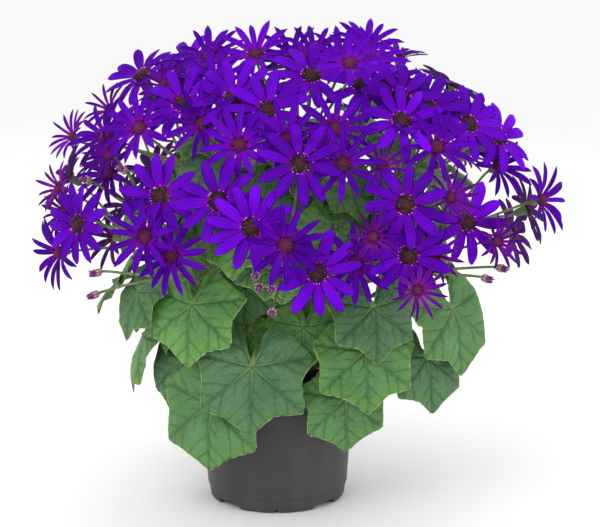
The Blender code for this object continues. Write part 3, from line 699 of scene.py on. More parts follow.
# ---------------------------------------------------------------- leaves
# Broad cordate blades with shallow angular lobes, quilted between a network of sunken
# veins, each on a fleshy stalk that clasps the crown; paler and ribbed beneath.
# Each: its joint, the size of its blade, the way it heads and how far it droops
LEAVES = (
    (-19, -90, 137, 58, -6, 66), (-54, -78, 103, 60, -28, 78),
    (70, -82, 149, 52, 8, 62), (58, -76, 107, 48, 22, 78),
    (148, -44, 176, 56, 46, 66), (126, -60, 138, 50, 38, 70),
    (160, -8, 190, 30, 85, 40), (-70, -66, 186, 52, -30, 70),
    (-116, -42, 190, 42, -58, 62), (-86, -30, 164, 32, -62, 60),
    (-82, -50, 131, 52, -44, 74), (-102, 6, 140, 54, -82, 66),
    (28, -66, 166, 40, 0, 56), (96, -58, 186, 46, 34, 68),
    (-22, -58, 158, 25, -8, 50), (-142, 4, 188, 32, -96, 50),
    (84, 22, 140, 56, 100, 72), (52, 66, 118, 54, 142, 76),
    (-8, 80, 140, 58, 182, 68), (-62, 62, 122, 52, 222, 74),
    (118, 62, 182, 50, 122, 64), (30, 104, 178, 54, 168, 62),
    (-60, 100, 184, 52, 206, 64), (-116, 56, 178, 48, 250, 62),
)
PETIOLE_BEND = 0.62
PETIOLE_ARCH = 14
PETIOLE_HOOK = 9
PETIOLE_END = 1.1
PETIOLE_GAP = 2.2
PETIOLE_FOOT = 92
PETIOLE_CLIMB = 0.38
PETIOLE_RADII = (4.2, 2.6, 2.1, 2.0, 1.9, 1.9, 1.9, 1.9, 1.9, 2.0, 2.3, 2.6)
LOWEST_JOINT = 110
# The moves by which a leaf may have come to rest: outward, up and round the pot
LEAF_MOVES = [
    (shift, lift, swing) for shift in (0, 5, -5, 10, -10, 15) for lift in (0, -6, 6, -12, 12)
    for swing in (0, 4, -4, 8, -8, 12, -12, 16, -16)
]
LOBE_TIPS = ((0, 1.0), (50, 0.96), (102, 0.88), (155, 0.7))
LOBE_NOTCHES = ((25, 0.88), (76, 0.83), (129, 0.76))
LOBE_END = 163
LOBE_END_SHARE = 0.42
BLADE_ROWS = 24
BLADE_THICKNESS = 0.7
BLADE_CURL = 0.16
QUILT_RISE = 0.03
VEIN_SINK = 0.02
# Each wave of a blade: its length and depth as shares of the size, its draw, and where it sets in
BLADE_WAVES = ((0.9, 0.036, 50, 0.5), (0.28, 0.006, 90, 0.3))
RIB_SPACE = 0.235
RIB_SLANT = 1.0
RIB_SHIFT = 0.22
BLADE_HOLE = 1.3
VEIN_STEPS = (0, 0.03, 0.075, 0.14, 0.23, 0.32, 0.41, 0.5, 0.59, 0.68, 0.77, 0.86, 0.925, 0.97)
BLADE_MARKS = ("run", "off", "edge", "part", "side", "kept")
LEAF_MARKS = (*BLADE_MARKS, "size", "tone", "along")


def sheet(rows, columns):
    """A thin closed sheet over a grid: the faces above, and those beneath, whose inner points are numbered
    after the grid's.
    """
    above = np.arange(rows * columns).reshape(rows, columns)
    beneath = above.copy()
    inner = np.arange((rows - 2) * (columns - 2)).reshape(rows - 2, columns - 2)
    beneath[1:-1, 1:-1] = rows * columns + inner
    return cells(above), cells(beneath)[:, ::-1]


def smooth(value):
    """Eased from 0 to 1, and held there outside."""
    value = np.clip(value, 0, 1)
    return value * value * (3 - 2 * value)


def blade_columns(chance, steps):
    """Across the blade: angles, rim radius as a share, nearness to a lobe's tip, vein and border."""
    tips = [(-a, r) for a, r in LOBE_TIPS[:0:-1]] + list(LOBE_TIPS)
    notches = [(-a, r) for a, r in LOBE_NOTCHES[::-1]] + list(LOBE_NOTCHES)
    tips = [(a, r * chance.uniform(0.96, 1.04)) for a, r in tips]
    notches = [(a, r * chance.uniform(0.95, 1.02)) for a, r in notches]
    last = LOBE_TIPS[-1][0]
    ends = list(np.linspace(3, LOBE_END - last, 6))
    angles = [-last - end for end in ends[::-1]]
    for (low, _), (high, _) in zip(tips, tips[1:]):
        angles += [low + (high - low) * step for step in steps]
    angles = np.array([*angles, last, *(last + end for end in ends)])
    knots = [(-LOBE_END, LOBE_END_SHARE, 0.0)]
    for tip, notch in zip(tips, [*notches, (LOBE_END, LOBE_END_SHARE)]):
        knots += [(*tip, 1.0), (*notch, 0.0)]
    at, shares, peaks = np.array(knots).T
    share, peak = np.interp(angles, at, shares), np.interp(angles, at, peaks)
    bay = np.sin(peak * math.pi) * -0.035 - (1 - peak) * 0.06 - 0.02 * smooth((peak - 0.8) / 0.2)
    bulge = np.where(np.abs(angles) < last, bay, np.sin(peak * math.pi) * 0.1)
    veins = np.array([angle for angle, _ in tips])
    nearest = veins[np.abs(angles[:, None] - veins[None, :]).argmin(1)]
    border = np.clip(np.abs(angles - nearest) / (np.diff(veins).mean() / 2), 0, 1.4)
    return np.radians(angles), share + bulge, peak, np.radians(nearest), border


def blade_form(size, seed, rows, steps):
    """A blade in its own frame, joint at the origin and tip along +Y: points, faces and marks."""
    chance = random.Random(seed)
    angle, share, peak, vein, border = blade_columns(chance, steps)
    own = np.random.default_rng(seed)
    rim = size * share
    fine = np.cos(angle * 41 + own.uniform(0, 6)) * 0.5 + np.cos(angle * 67 + own.uniform(0, 6)) * 0.4
    step = (np.arange(rows) / (rows - 1)) ** 0.92
    radius = BLADE_HOLE + (rim[None, :] - BLADE_HOLE) * step[:, None]
    radius += step[:, None] ** 8 * fine * size * 0.012
    run = radius * np.cos(angle - vein)
    off = radius * np.sin(angle - vein)
    edge = rim[None, :] - radius
    x, y = radius * np.sin(angle), radius * np.cos(angle)
    part = radius / size
    level = -BLADE_CURL * size * part ** 2 + (2.0 - 3.5 * peak) * (part / share) ** 3
    phase = (run - np.abs(off) * RIB_SLANT) / (size * RIB_SPACE) + np.sign(off) * RIB_SHIFT
    kept = 1 - smooth((border - 0.55) / 0.35) * smooth(edge / (size * 0.22))
    from_vein = 1 - np.exp(-(off / (size * 0.035)) ** 2)
    pillow = np.abs(np.sin(phase * math.pi)) ** 0.6
    fade = smooth(edge / (size * 0.12)) * smooth(part / 0.25)
    level += (pillow * QUILT_RISE * size - 0.012 * size) * from_vein * fade * (0.25 + 0.75 * kept)
    level -= (1 - from_vein) * VEIN_SINK * size * smooth(part / 0.1) * smooth(edge / (size * 0.3))
    flat = np.stack([x, y], -1).reshape(-1, 2)
    for length, depth, draw, inmost in BLADE_WAVES:
        wave = ripples(flat, size * length, seed + draw) * depth * size
        level += wave.reshape(level.shape) * smooth(part / inmost)
    above = np.stack([x, y, level], -1)
    beneath = above[1:-1, 1:-1] - np.array([0, 0, BLADE_THICKNESS])
    marks = {}
    for mark, grid in zip(BLADE_MARKS, (run, np.abs(off), edge, part, np.sign(off), kept)):
        grid = np.broadcast_to(grid, radius.shape)
        marks[mark] = np.concatenate([grid.ravel(), grid[1:-1, 1:-1].ravel()])
    return np.concatenate([above.reshape(-1, 3), beneath.reshape(-1, 3)]), sheet(*radius.shape), marks


def blade_finish(name, beneath):
    """Green between a network of veins, with painted shade along the ribs and the main veins on the face;
    marks hold the place on the blade in millimetres.
    """
    skin = Finish(name, 0.52, 0.3)
    run, off, edge, part, side, kept, size, tone = skin.marks(*BLADE_MARKS, "size", "tone")
    space = skin.times(size, RIB_SPACE)
    slant = skin.minus(run, skin.times(off, RIB_SLANT))
    phase = skin.plus(skin.maths("DIVIDE", slant, space), skin.times(side, RIB_SHIFT))
    stray = skin.times(skin.minus(skin.noise(48, 3), 0.5), 0.75)
    phase = skin.maths("FRACT", skin.plus(skin.plus(phase, 20.0), stray))
    from_rib = skin.times(skin.maths("MINIMUM", phase, skin.minus(1.0, phase)), space)
    rib = skin.times(skin.spread(from_rib, 0.1, 0.95, 1, 0), kept)
    main = skin.minus(off, skin.times(skin.spread(part, 0.0, 0.8, 1, 0), 0.35))
    main = skin.spread(main, 0.05, 0.5, 1, 0)
    net = skin.spread(skin.crackle(210), 0.0, 0.14, 1, 0)
    cloud = skin.noise(26, 4)
    if beneath:
        colour = skin.layers(
            skin.ramp(cloud, (0.3, 0.15, 0.26, 0.09), (0.7, 0.2, 0.33, 0.1)),
            (skin.spread(skin.noise(17, 2), 0.55, 0.75, 0, 0.4), (0.2, 0.16, 0.09)),
            (net, (0.24, 0.36, 0.15), 0.3), (rib, (0.3, 0.42, 0.19), 0.6), (main, (0.36, 0.46, 0.22)),
        )
        return skin.done(colour, skin.plus(rib, main), 0.5, 0.001)
    dust = skin.noise(420, 3)
    shadow = skin.times(skin.spread(from_rib, 0.3, 3.0, 1, 0), kept)
    fresh = skin.times(skin.spread(edge, 0, 16, 1, 0), skin.spread(tone, 0.1, 0.8, 0.25, 0.75))
    bright = skin.ramp(cloud, (0.3, 0.075, 0.205, 0.05), (0.7, 0.135, 0.31, 0.1))
    colour = skin.layers(
        skin.ramp(cloud, (0.3, 0.062, 0.155, 0.075), (0.7, 0.11, 0.235, 0.13)),
        (skin.spread(tone, 0.15, 0.7), bright),
        (skin.spread(dust, 0.4, 0.75, 0, 0.3), (0.17, 0.34, 0.15)),
        (fresh, (0.115, 0.28, 0.028)),
        (net, (0.05, 0.15, 0.035), 0.28),
        (shadow, (0.035, 0.115, 0.03), 0.28),
        # Painted shade: darker green along each main vein, left showing either side of its pale line.
        (skin.spread(off, 0.4, 3.2, 1, 0), (0.03, 0.1, 0.03), 0.35),
        (rib, (0.045, 0.13, 0.04), 0.5),
        (main, (0.22, 0.38, 0.12), skin.spread(part, 0.08, 0.6, 0.9, 0.1)),
        (skin.spread(part, 0.02, 0.07, 0.8, 0), (0.38, 0.52, 0.18)),
        (skin.spread(edge, 0.25, 0.8, 0.9, 0), (0.44, 0.58, 0.3)),
    )
    colour = skin.shade(colour, skin.spread(tone, 0, 1, 0.8, 1.14))
    dip = skin.plus(skin.plus(skin.times(net, -0.4), skin.times(rib, -0.8)), skin.times(main, -1.0))
    return skin.done(colour, dip, 0.5, 0.0009, skin.spread(dust, 0.3, 0.8, 0.47, 0.64))


def leaf_axes(heading, droop):
    """A blade's three axes: across it, along it and out of its face."""
    turn, lean = math.radians(heading), math.radians(droop)
    outward = Vector((math.sin(turn), -math.cos(turn), 0))
    along = outward * math.cos(lean) - Vector((0, 0, 1)) * math.sin(lean)
    normal = outward * math.sin(lean) + Vector((0, 0, 1)) * math.cos(lean)
    return along.cross(normal), along, normal


def leaf_joint(row, shift, lift, swing):
    """A leaf's joint and its way out from the crown, for a move from the table."""
    joint = Matrix.Rotation(math.radians(swing), 3, "Z") @ Vector(row[:3])
    plan = Vector((joint.x, joint.y, 0)).normalized()
    return joint + (plan * shift + Vector((0, 0, lift))), plan


def bow(start, bend, end, count):
    """Places along a curve from start to end that a bend pulls towards it, with their shares of the way."""
    shares = np.linspace(0, 1, count)
    return [(start * (1 - t) ** 2 + bend * 2 * t * (1 - t) + end * t * t, t) for t in shares]


def add_leaf(gathered, size, seed, joint, axes, path, thick, rows=BLADE_ROWS, steps=VEIN_STEPS):
    """One blade and its stalk, put into a gathered piece."""
    points, faces, marks = blade_form(size, seed, rows, steps)
    both = {"size": size, "tone": random.Random(seed + 7).random()}
    gathered.add(points @ np.array(axes) + np.array(joint), faces, {**marks, **both, "along": 1}, (0, 1))
    points, faces, along = tube(path, thick, 10, ribs=3, rib_depth=0.06)
    # A stalk is marked as far from every vein
    far_off = {"run": 5, "off": 5, "edge": 5, "part": 1}
    gathered.add(points, faces, {**far_off, **both, "along": along}, 2)


leaf_skins = [blade_finish("leaf_face", False), blade_finish("leaf_back", True), stem_skin]
for number, row in enumerate(LEAVES, 1):
    corners = corners_of(f"leaf_{number:02d}")
    move = min(LEAF_MOVES, key=lambda m: corners.find(leaf_joint(row, *m)[0])[2])
    joint, plan = leaf_joint(row, *move)
    _, _, z, size, heading, droop = row
    axes = leaf_axes(heading + move[2], droop)
    height = PETIOLE_FOOT + max(0, z - LOWEST_JOINT) * PETIOLE_CLIMB
    path = [plan * (CROWN_RADIUS - 1.5) + Vector((0, 0, height - 1))]
    base = plan * (CROWN_RADIUS + PETIOLE_GAP) + Vector((0, 0, height))
    bend = plan * math.hypot(joint.x, joint.y) * PETIOLE_BEND + Vector((0, 0, joint.z + PETIOLE_ARCH))
    for place, t in bow(base, bend, joint + axes[2] * PETIOLE_END, 14):
        path.append(place - axes[1] * (math.sin(math.pi * max(0, (t - 0.5) / 0.5)) * PETIOLE_HOOK))
    leaf = Gathered(*LEAF_MARKS)
    add_leaf(leaf, size, number, joint, axes, path, PETIOLE_RADII)
    leaf.piece(f"leaf_blade_{number:02d}", leaf_skins, f"leaf_{number:02d}", "leaf_green")

# ---------------------------------------------------------------- stem leaves
# Smaller leaves that grow from the flowering stems and fill the dome under the blooms,
# on short stalks of their own; the viewer's are listed, those behind are spread evenly.
# Each: across and up as the viewer sees it, how deep in the dome, size, heading, droop
STEM_LEAVES = (
    (-104, 98, 0.8, 34, -30, 40), (-164, 50, 0.86, 30, -60, 48), (-9, 72, 0.7, 32, 12, 44),
    (26, 50, 0.72, 34, -22, 56), (40, 33, 0.78, 38, 24, 62), (56, 76, 0.78, 30, 30, 42),
    (112, 55, 0.8, 32, 40, 46), (139, 88, 0.84, 30, 58, 40), (154, 67, 0.82, 26, 76, 40),
    (-43, 55, 0.68, 34, -16, 50), (0, 20, 0.7, 38, 6, 62), (74, 24, 0.76, 36, 26, 60),
    (-74, 24, 0.74, 36, -30, 60), (-121, 54, 0.76, 34, -48, 50), (87, 98, 0.74, 30, 36, 38),
    (-52, 98, 0.72, 30, -20, 38), (20, 104, 0.7, 30, 8, 34), (-82, 62, 0.66, 34, -34, 48),
    (72, 54, 0.64, 34, 30, 50), (140, 20, 0.8, 34, 56, 58), (-140, 20, 0.82, 34, -58, 58),
    (-20, 130, 0.74, 28, -6, 30), (100, 130, 0.8, 26, 40, 30), (-110, 132, 0.8, 26, -40, 30),
    (-120, -88, 0.43, 34, -8, 68), (-50, -12, 0.6, 36, -14, 64), (-26, -10, 0.62, 34, 10, 68),
    (12, -14, 0.6, 30, 20, 60), (-40, -50, 0.46, 30, 6, 66),
)
STEM_LEAF_ROWS = 11
STEM_VEIN_STEPS = (0, 0.05, 0.14, 0.27, 0.42, 0.58, 0.73, 0.86, 0.95)
STALK_RADII = (2.0, 1.4, 1.2, 1.3, 2.0)
# Each spread of leaves behind: how many, its top and fall, how deep and how far back it lies,
# its droop and what the fall adds to it, its size, what is added to some and the step between them
BACK_LEAVES = ((22, 0.62, 1.0, 0.74, 0, 34, 26, 30, 8, 7), (13, 0.95, 0.5, 0.66, 0.12, 22, 0, 28, 6, 3))


def into_dome(point, depth):
    """The point drawn in towards the dome's centre, to a share of its way out."""
    return DOME_CENTRE + (point - DOME_CENTRE) * depth


def stem_leaf_seats():
    """The joint, heading, droop and size of every stem leaf."""
    seats = []
    for across, up, depth, size, heading, droop in STEM_LEAVES:
        seats.append((into_dome(seen_on_dome(across, up)[0], depth), heading, droop, size))
    for count, top, fall, depth, back, droop, more_droop, size, more_size, step in BACK_LEAVES:
        for i, (height, turn) in enumerate(even_spread(count, top, fall)):
            turn %= math.pi
            joint = into_dome(on_dome(ball_point(height, turn, shift=back))[0], depth)
            lean, own_size = droop + more_droop * (top - height), size + more_size * ((i * step) % 5) / 5
            seats.append((joint, math.degrees(turn) + 90, lean, own_size))
    return seats


stem_points = []
for root, top, _ in corymbs:
    stem_points += [Vector(place) for place in rounded(stem_path(root, top))[6:]]
front_leaves, back_leaves = Gathered(*LEAF_MARKS), Gathered(*LEAF_MARKS)
for number, (joint, heading, droop, size) in enumerate(stem_leaf_seats()):
    gathered = front_leaves if number < len(STEM_LEAVES) else back_leaves
    axes = leaf_axes(heading, droop)
    seats = [place for place in stem_points if place.z < joint.z + 10] or stem_points
    seat = min(seats, key=lambda place: (place - joint).length)
    bend = seat.lerp(joint, 0.6) + Vector((0, 0, 8))
    path = [place for place, _ in bow(seat, bend, joint + axes[2] * 0.6, 9)]
    add_leaf(gathered, size, 100 + number, joint, axes, path, STALK_RADII, STEM_LEAF_ROWS, STEM_VEIN_STEPS)
front_leaves.piece("stem_leaves_front", leaf_skins, "stem", "leaf_green")
back_leaves.piece("stem_leaves_back", leaf_skins, "stem", "leaf_green")

# ---------------------------------------------------------------- flower heads
# Daisy-like heads: a ring of smooth violet rays round a dark disc of tiny tube florets,
# held in a green cup of narrow bracts at the end of a thin stalk.
RAY_ROWS = 10
RAY_ACROSS = np.array([-1, -0.66, -0.33, 0, 0.33, 0.66, 1])
RAY_THICKNESS = 0.45
RAY_RIDGE = 0.22
RAY_OVERLAP = 0.7
# Each kind: fewest and most rays, root and reach, width, start and end slope, roll of the edges, tip width
RAY_FORMS = {
    "open": (10, 13, 5.6, 34.5, 9.6, 12, -8, 0.35, 0.52),
    "rear": (10, 13, 5.6, 34.5, 9.6, 12, -8, 0.35, 0.52),
    "half": (12, 14, 4.6, 33.5, 6.6, 27, 0, 1.0, 0.26),
    "star": (12, 14, 3.4, 25.0, 4.0, 36, 8, 1.35, 0.25),
}
DISC_RADII = {"open": 7.4, "rear": 7.4, "half": 5.8, "star": 4.2}
DISC_FLORETS = {"open": 100, "rear": 96, "half": 66, "star": 40}
# The dome under the florets: radius as a share of the disc's, and height
DISC_DOME = ((0.95, -0.8), (1, 0.2), (0.7, 1.4), (0.35, 2.4))
CUP_PROFILE = (
    (0.6, -12.2), (1.4, -11.9), (2.8, -10.9), (3.4, -8.5), (3.6, -5), (4.0, -2), (5.0, -0.2), (3.0, -0.4),
)
BUD_CUP = (
    (0.5, -4.6), (2.0, -4.2), (2.9, -3.0), (3.2, -1.0), (3.15, 1.2), (3.35, 2.6), (3.1, 3.4), (2.5, 3.2),
)
BUD_TIP = ((1.2, 1.6), (2.5, 2.4), (2.5, 4.4), (2.2, 6.4), (1.5, 7.8), (0.5, 8.4))
BUD_QUILLS = 8
QUILL_RING = 1.9
QUILL_FOOT = 3.6
QUILL_WIDTH = 0.62
QUILL_LENGTHS = (4.2, 6.2)
QUILL_SPLAY = 0.12
BUD_FOOT = 3.6
CUP_FOOT = 11
BUNCH_RADII = (2.5, 2.2, 1.9)
STALKLET_RADII = (1.5, 1.15, 1.1, 1.3)
RAY_DOTS = 11
CUP_SIZES = {"open": 1.0, "rear": 1.0, "half": 0.9, "star": 0.75, "bud": 1}
HEAD_TINTS = {"open": 0.2, "rear": 0.25, "half": 0.68, "star": 0.98}


def ring_of_rays(chance, kind):
    """Every ray of one head about +Z: points (ray, point, 3), and the marks along and across."""
    fewest, most, root, reach, width, start, end, roll, blunt = RAY_FORMS[kind]
    count = int(chance.integers(fewest, most + 1))

    def vary(low, high):
        return chance.uniform(low, high, (count, 1, 1))

    s = (1 - (1 - np.linspace(0, 1, RAY_ROWS)) ** 1.25)[None, :, None]
    v = RAY_ACROSS[None, None, :]
    length = (reach - root) * vary(0.93, 1.03)
    half = width / 2 * vary(0.88, 1.08)
    wide = half * (0.56 + 0.44 * smooth(s / 0.45)) * (1 - (1 - blunt) * np.clip((s - 0.6) / 0.4, 0, 1) ** 2)
    slope_low, slope_high = np.radians(start + vary(-9, 9)), np.radians(end + vary(-14, 12))
    slope = slope_low + (slope_high - slope_low) * s
    steps = np.diff(s, axis=1, prepend=0)
    out = root + length * np.cumsum(np.cos(slope) * steps, 1)
    up = 0.3 + length * np.cumsum(np.sin(slope) * steps, 1)
    bent = np.maximum(roll * vary(0.5, 1.4) * smooth(s / 0.4), 0.02)
    x = wide * np.sin(v * bent) / bent
    z = wide * (1 - np.cos(v * bent)) / bent
    ridge = RAY_RIDGE * np.cos(v * 3 * math.pi) * np.minimum(wide / 4, 1)
    z = z + ridge * smooth((1 - np.abs(v)) / 0.3 + 0.2)
    notch = np.exp(-((np.abs(v) - 0.33) / 0.2) ** 2) * 0.35
    out = out - (0.075 * length * v ** 2 - notch) * s ** 9
    twist = vary(-0.3, 0.3) * s
    x, z = x * np.cos(twist) - z * np.sin(twist), x * np.sin(twist) + z * np.cos(twist)
    x = x + vary(-0.055, 0.055) * length * s ** 2
    far = out - z * np.sin(slope)
    high = up + z * np.cos(slope)
    turn = (np.arange(count)[:, None, None] + vary(-0.16, 0.16)) * 2 * math.pi / count
    stack = (np.arange(count) % 2)[:, None, None] * RAY_OVERLAP
    above = np.stack([
        far * np.cos(turn) - x * np.sin(turn), far * np.sin(turn) + x * np.cos(turn), high + stack,
    ], -1)
    sink = np.stack([np.sin(slope) * np.cos(turn), np.sin(slope) * np.sin(turn), -np.cos(slope)], -1)
    beneath = (above + sink * RAY_THICKNESS)[:, 1:-1, 1:-1]
    points = np.concatenate([above.reshape(count, -1, 3), beneath.reshape(count, -1, 3)], 1)
    marks = []
    for grid in np.broadcast_arrays(s, v, turn)[:2]:
        marks.append(np.concatenate([grid.reshape(count, -1), grid[:, 1:-1, 1:-1].reshape(count, -1)], 1))
    tone = np.broadcast_to(chance.uniform(0, 1, (count, 1)), marks[0].shape)
    return points, marks[0], marks[1], tone


def knobs(places, ways, width, length):
    """Small five-sided knobs standing at places along their ways: points and faces."""
    count, turns = len(places), np.arange(5) * 2 * math.pi / 5
    side = np.cross(ways, np.array([0.31, 0.93, 0.17]))
    side /= np.linalg.norm(side, axis=1)[:, None]
    other = np.cross(ways, side)
    ring = np.cos(turns)[None, :, None] * side[:, None] + np.sin(turns)[None, :, None] * other[:, None]
    length = np.broadcast_to(length, count)[:, None, None]
    low = places[:, None] + ring * width * 0.7 - ways[:, None] * 1.2
    high = places[:, None] + ring * width + ways[:, None] * length * 0.6
    tip = places[:, None] + ways[:, None] * length
    foot = places[:, None] - ways[:, None] * 1.3
    points = np.concatenate([low, high, tip, foot], 1).reshape(-1, 3)
    pairs = [(k, (k + 1) % 5) for k in range(5)]
    quads = np.array([(a, b, 5 + b, 5 + a) for a, b in pairs])
    tris = np.array([(5 + a, 5 + b, 10) for a, b in pairs] + [(b, a, 11) for a, b in pairs])
    shift = np.arange(count)[:, None, None] * 12
    return points, [(quads[None] + shift).reshape(-1, 4), (tris[None] + shift).reshape(-1, 3)]


def disc_of_florets(chance, kind):
    """The domed disc of tube florets in their spiral order: points, faces and marks."""
    radius, count = DISC_RADII[kind], DISC_FLORETS[kind]
    order = np.arange(count)
    far = radius * np.sqrt((order + 0.5) / count)
    turn = order * GOLDEN_ANGLE
    height = DISC_RISE * (1 - (far / radius) ** 2) * 0.8 + 0.5
    places = about_axis(far, turn, height)
    ways = places * np.array([0.07, 0.07, 0]) + np.array([0, 0, 1.0]) + chance.normal(0, 0.08, (count, 3))
    ways /= np.linalg.norm(ways, axis=1)[:, None]
    width = radius * 0.98 / math.sqrt(count) * 0.8
    length = chance.uniform(0.5, 1.3, count) * (0.8 + 0.5 * (far / radius) ** 3)
    points, faces = knobs(places, ways, width, length)
    return points, faces, np.repeat(far / radius, 12), np.repeat(chance.uniform(0, 1, count), 12)


def turned_form(profile, steps, rib=0.0, ribs=1):
    """A profile of (radius, height) turned about +Z, ribbed like pressed bracts: points, faces, marks."""
    profile = np.array(profile, float)
    turns = np.arange(steps) * 2 * math.pi / steps
    points = about_axis(profile[:, :1] * (1 + rib * np.cos(ribs * turns)), turns, profile[:, 1:])
    rise = np.repeat(np.linspace(0, 1, len(profile)), steps)
    between = np.tile(0.5 - 0.5 * np.cos(ribs * turns), len(profile))
    return points.reshape(-1, 3), rings(len(profile), steps), rise, between


def turned_to(points, seat, axis, spin):
    """Points about +Z moved to a seat and turned to face along its axis."""
    turn = axis.to_track_quat("Z", "Y").to_matrix() @ Matrix.Rotation(spin, 3, "Z")
    return points @ np.array(turn).T + np.array(seat)


def ray_finish(name, beneath):
    """Violet with fine veins; on younger heads darker, and on rolled rays with a pale rim."""
    petal = Finish(name, 0.62, 0.04)
    along, across, tone, head = petal.marks("along", "across", "tone", "head")
    vein = petal.maths("COSINE", petal.times(across, 3 * math.pi))
    quill = petal.spread(head, 0.85, 0.97)
    if beneath:
        colour = petal.layers(
            petal.ramp(along, (0.0, 0.3, 0.1, 0.24), (0.25, 0.14, 0.03, 0.28), (1.0, 0.085, 0.02, 0.27)),
            (petal.spread(vein, 0.2, 1, 0, 0.4), (0.2, 0.06, 0.3)), (quill, (0.2, 0.02, 0.17), 0.6),
        )
        return petal.done(petal.shade(colour, petal.spread(tone, 0, 1, 0.7, 1.2)), vein, 0.3, 0.0004)
    cloud = petal.noise(45, 3)
    rim = petal.spread(petal.maths("ABSOLUTE", across), 0.72, 1.0)
    flat = petal.ramp(
        along, (0.0, 0.34, 0.01, 0.42), (0.08, 0.21, 0.0, 0.46), (0.2, 0.127, 0.0, 0.45),
        (0.55, 0.112, 0.0, 0.49), (1.0, 0.13, 0.0, 0.56),
    )
    narrow = petal.ramp(along, (0.0, 0.2, 0.004, 0.22), (0.3, 0.085, 0.0, 0.33), (1.0, 0.055, 0.0, 0.26))
    rolled = petal.ramp(along, (0.0, 0.27, 0.01, 0.19), (0.5, 0.13, 0.003, 0.2), (1.0, 0.045, 0.002, 0.12))
    colour = petal.layers(
        flat,
        (petal.spread(head, 0.4, 0.75), petal.mix(rim, narrow, (0.17, 0.01, 0.36), 0.5), 0.8),
        (quill, petal.mix(rim, rolled, (0.4, 0.1, 0.42), 0.7), 0.9),
        (petal.spread(vein, -0.2, 1.0, 0, 0.3), (0.15, 0.004, 0.6)),
        (petal.spread(cloud, 0.42, 0.72, 0, 0.5), (0.06, 0.0, 0.27)),
    )
    colour = petal.shade(colour, petal.spread(tone, 0, 1, 0.6, 1.3))
    fine = petal.maths("SINE", petal.times(across, 26.0))
    height = petal.plus(vein, petal.times(fine, 0.12))
    return petal.done(colour, height, 0.35, 0.0005, petal.spread(cloud, 0.3, 0.7, 0.5, 0.66))


def disc_finish():
    """Dark red tubes with yellow pollen round the disc's edge, and pale dots at the feet of the rays."""
    floret = Finish("disc_florets", 0.6, 0.35)
    ring, tone, head = floret.marks("ring", "tone", "head")
    ripe = floret.ramp(
        ring, (0.0, 0.15, 0.014, 0.04), (0.42, 0.11, 0.012, 0.032),
        (0.62, 0.02, 0.008, 0.009), (1.0, 0.03, 0.005, 0.016),
    )
    unripe = floret.ramp(ring, (0.0, 0.2, 0.018, 0.075), (0.7, 0.15, 0.012, 0.085), (1.0, 0.1, 0.008, 0.1))
    pollen = floret.times(floret.spread(tone, 0.66, 0.9, 0, 0.7), floret.spread(ring, 0.5, 0.75))
    colour = floret.layers(ripe, (pollen, (0.24, 0.12, 0.045)), (floret.spread(head, 0.4, 0.75), unripe))
    colour = floret.shade(colour, floret.spread(tone, 0, 1, 0.75, 1.25))
    colour = floret.mix(floret.maths("GREATER_THAN", ring, 1.2), colour, (0.85, 0.42, 0.78))
    return floret.done(colour, floret.noise(900, 2), 0.3, 0.0003)


def cup_finish():
    """Green bracts with purple seams; a bud's cup is cream and its tip dark purple."""
    skin = Finish("cup_and_stalk", 0.55, 0.3)
    rise, between, tip, bud = skin.marks("rise", "between", "tip", "bud")
    green = skin.layers(
        skin.ramp(skin.noise(90, 3), (0.3, 0.1, 0.17, 0.05), (0.7, 0.2, 0.3, 0.1)),
        (between, (0.15, 0.03, 0.09), 0.55), (skin.spread(rise, 0.75, 1.0, 0, 0.6), (0.2, 0.03, 0.16)),
    )
    cream = skin.ramp(rise, (0.0, 0.26, 0.33, 0.14), (0.55, 0.4, 0.4, 0.26), (0.8, 0.5, 0.42, 0.36))
    cream = skin.mix(skin.spread(between, 0.35, 0.8, 0, 0.85), cream, (0.3, 0.025, 0.19))
    lobes = skin.ramp(rise, (0.0, 0.5, 0.12, 0.4), (0.35, 0.3, 0.02, 0.24), (0.8, 0.07, 0.002, 0.1))
    lobes = skin.mix(skin.spread(between, 0.5, 0.9, 0, 0.6), lobes, (0.42, 0.16, 0.36))
    return skin.done(skin.layers(green, (bud, cream), (tip, lobes)), skin.noise(600, 2), 0.3, 0.0004)


def add_bud(green, chance, stand):
    """A closed bud: its pale cup, its dark tip and the quills that stand out of it."""
    for profile, tip in ((BUD_CUP, 0), (BUD_TIP, 1)):
        points, faces, rise, between = turned_form(profile, 32, rib=0.08, ribs=8)
        marks = {"rise": rise, "between": between, "tip": tip, "bud": 1}
        green.add(turned_to(points, *stand), faces, marks)
    turns = np.arange(BUD_QUILLS) * 2 * math.pi / BUD_QUILLS + chance.uniform(0, 1)
    ways = about_axis(QUILL_SPLAY, turns, 1)
    ways += chance.normal(0, 0.1, ways.shape) * np.array([1, 1, 0])
    length = chance.uniform(*QUILL_LENGTHS, BUD_QUILLS)
    points, faces = knobs(about_axis(QUILL_RING, turns, QUILL_FOOT), ways, QUILL_WIDTH, length)
    rise = np.clip((points[:, 2] - 2) / 7, 0, 1)
    marks = {"rise": rise, "between": np.repeat(turns % 1, 12), "tip": 1, "bud": 1}
    green.add(turned_to(points, *stand), faces, marks)


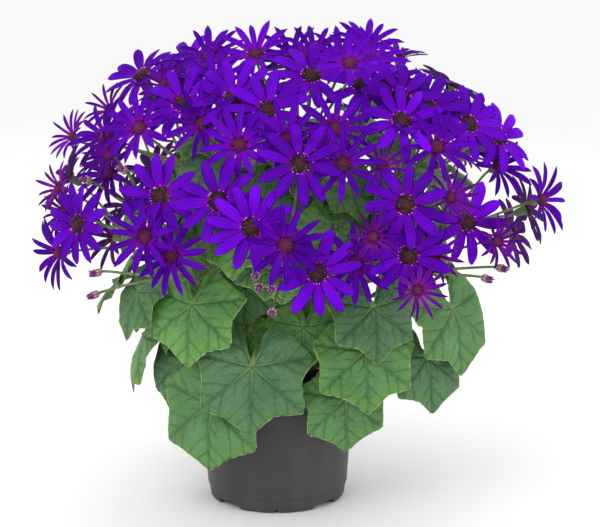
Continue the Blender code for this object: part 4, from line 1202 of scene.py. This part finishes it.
def add_head(rays, discs, chance, kind, stand):
    """A flower head's ring of rays, its florets, the dome they stand on and the pale dots round it."""
    tint = float(np.clip(HEAD_TINTS[kind] + chance.normal(0, 0.07), 0, 1))
    points, along, across, tone = ring_of_rays(chance, kind)
    tone = 0.45 * tone + 0.55 * chance.uniform(0, 1)
    shift = np.arange(len(points))[:, None, None] * len(points[0])
    sides = sheet(RAY_ROWS, len(RAY_ACROSS))
    faces = [(side[None, :, ::-1] + shift).reshape(-1, 4) for side in sides]
    marks = {"along": along.ravel(), "across": across.ravel(), "tone": tone.ravel(), "head": tint}
    rays.add(turned_to(points.reshape(-1, 3), *stand), faces, marks, (0, 1))

    points, faces, ring, tone = disc_of_florets(chance, kind)
    discs.add(turned_to(points, *stand), faces, {"ring": ring, "tone": tone, "head": tint})
    radius = DISC_RADII[kind]
    dome = [(radius * share, z) for share, z in DISC_DOME]
    points, faces, _, _ = turned_form([(0.4, -1.2), *dome, (0.4, 2.8)], 20)
    discs.add(turned_to(points, *stand), faces, {"ring": 0.8, "head": tint})
    if kind in ("open", "rear"):
        places = about_axis(radius + 0.7, chance.uniform(0, 2 * math.pi, RAY_DOTS), 1.3)
        ways = places * np.array([0.08, 0.08, 0]) + np.array([0, 0, 0.8])
        ways /= np.linalg.norm(ways, axis=1)[:, None]
        points, faces = knobs(places, ways, 0.34, 0.8)
        discs.add(turned_to(points, *stand), faces, {"ring": 1.5, "head": tint})


def add_cup(green, size, stand):
    """The green cup that holds a flower head."""
    points, faces, rise, between = turned_form(np.array(CUP_PROFILE) * size, 36, rib=0.06, ribs=9)
    green.add(turned_to(points, *stand), faces, {"rise": rise, "between": between})


ray_skins = [ray_finish("ray_face", False), ray_finish("ray_back", True)]
floret_skin = disc_finish()
cup_skin = cup_finish()
for number, (root, top, blooms) in enumerate(corymbs, 1):
    chance = np.random.default_rng(number)
    node = f"corymb_{number:02d}"
    rays = Gathered("along", "across", "tone", "head")
    discs = Gathered("ring", "tone", "head")
    green = Gathered("rise", "between", "tip", "bud")
    path = rounded([root, root.lerp(top, 0.5) + Vector((0.6, -0.4, 0.3)), top], 2)
    points, faces, _ = tube(path, BUNCH_RADII, 10, ribs=5, rib_depth=0.07)
    green.add(points, faces, {"rise": 0.2, "between": 0.1})
    for kind, seat, axis, spin, start in blooms:
        size = CUP_SIZES[kind]
        end = seat - axis * (BUD_FOOT if kind == "bud" else CUP_FOOT * size)
        lift = Vector(chance.normal(0, 1.1, 3)) + Vector((0, 0, 1.5))
        knee = start.lerp(end, 0.55) + lift
        path = rounded([start, knee, end - axis * min(6, (end - start).length * 0.3), end], 2)
        points, faces, _ = tube(path, STALKLET_RADII, 8)
        green.add(points, faces, {"rise": 0.3, "between": chance.uniform(0, 0.5)})
        if kind == "bud":
            add_bud(green, chance, (seat, axis, spin))
        else:
            add_head(rays, discs, chance, kind, (seat, axis, spin))
            add_cup(green, size, (seat, axis, spin))
    green.piece(f"{node}_stalks", [cup_skin], node, "stem_green")
    if rays.points:
        rays.piece(f"{node}_rays", ray_skins, node, "bloom_purple")
        discs.piece(f"{node}_discs", [floret_skin], node, "bloom_purple")
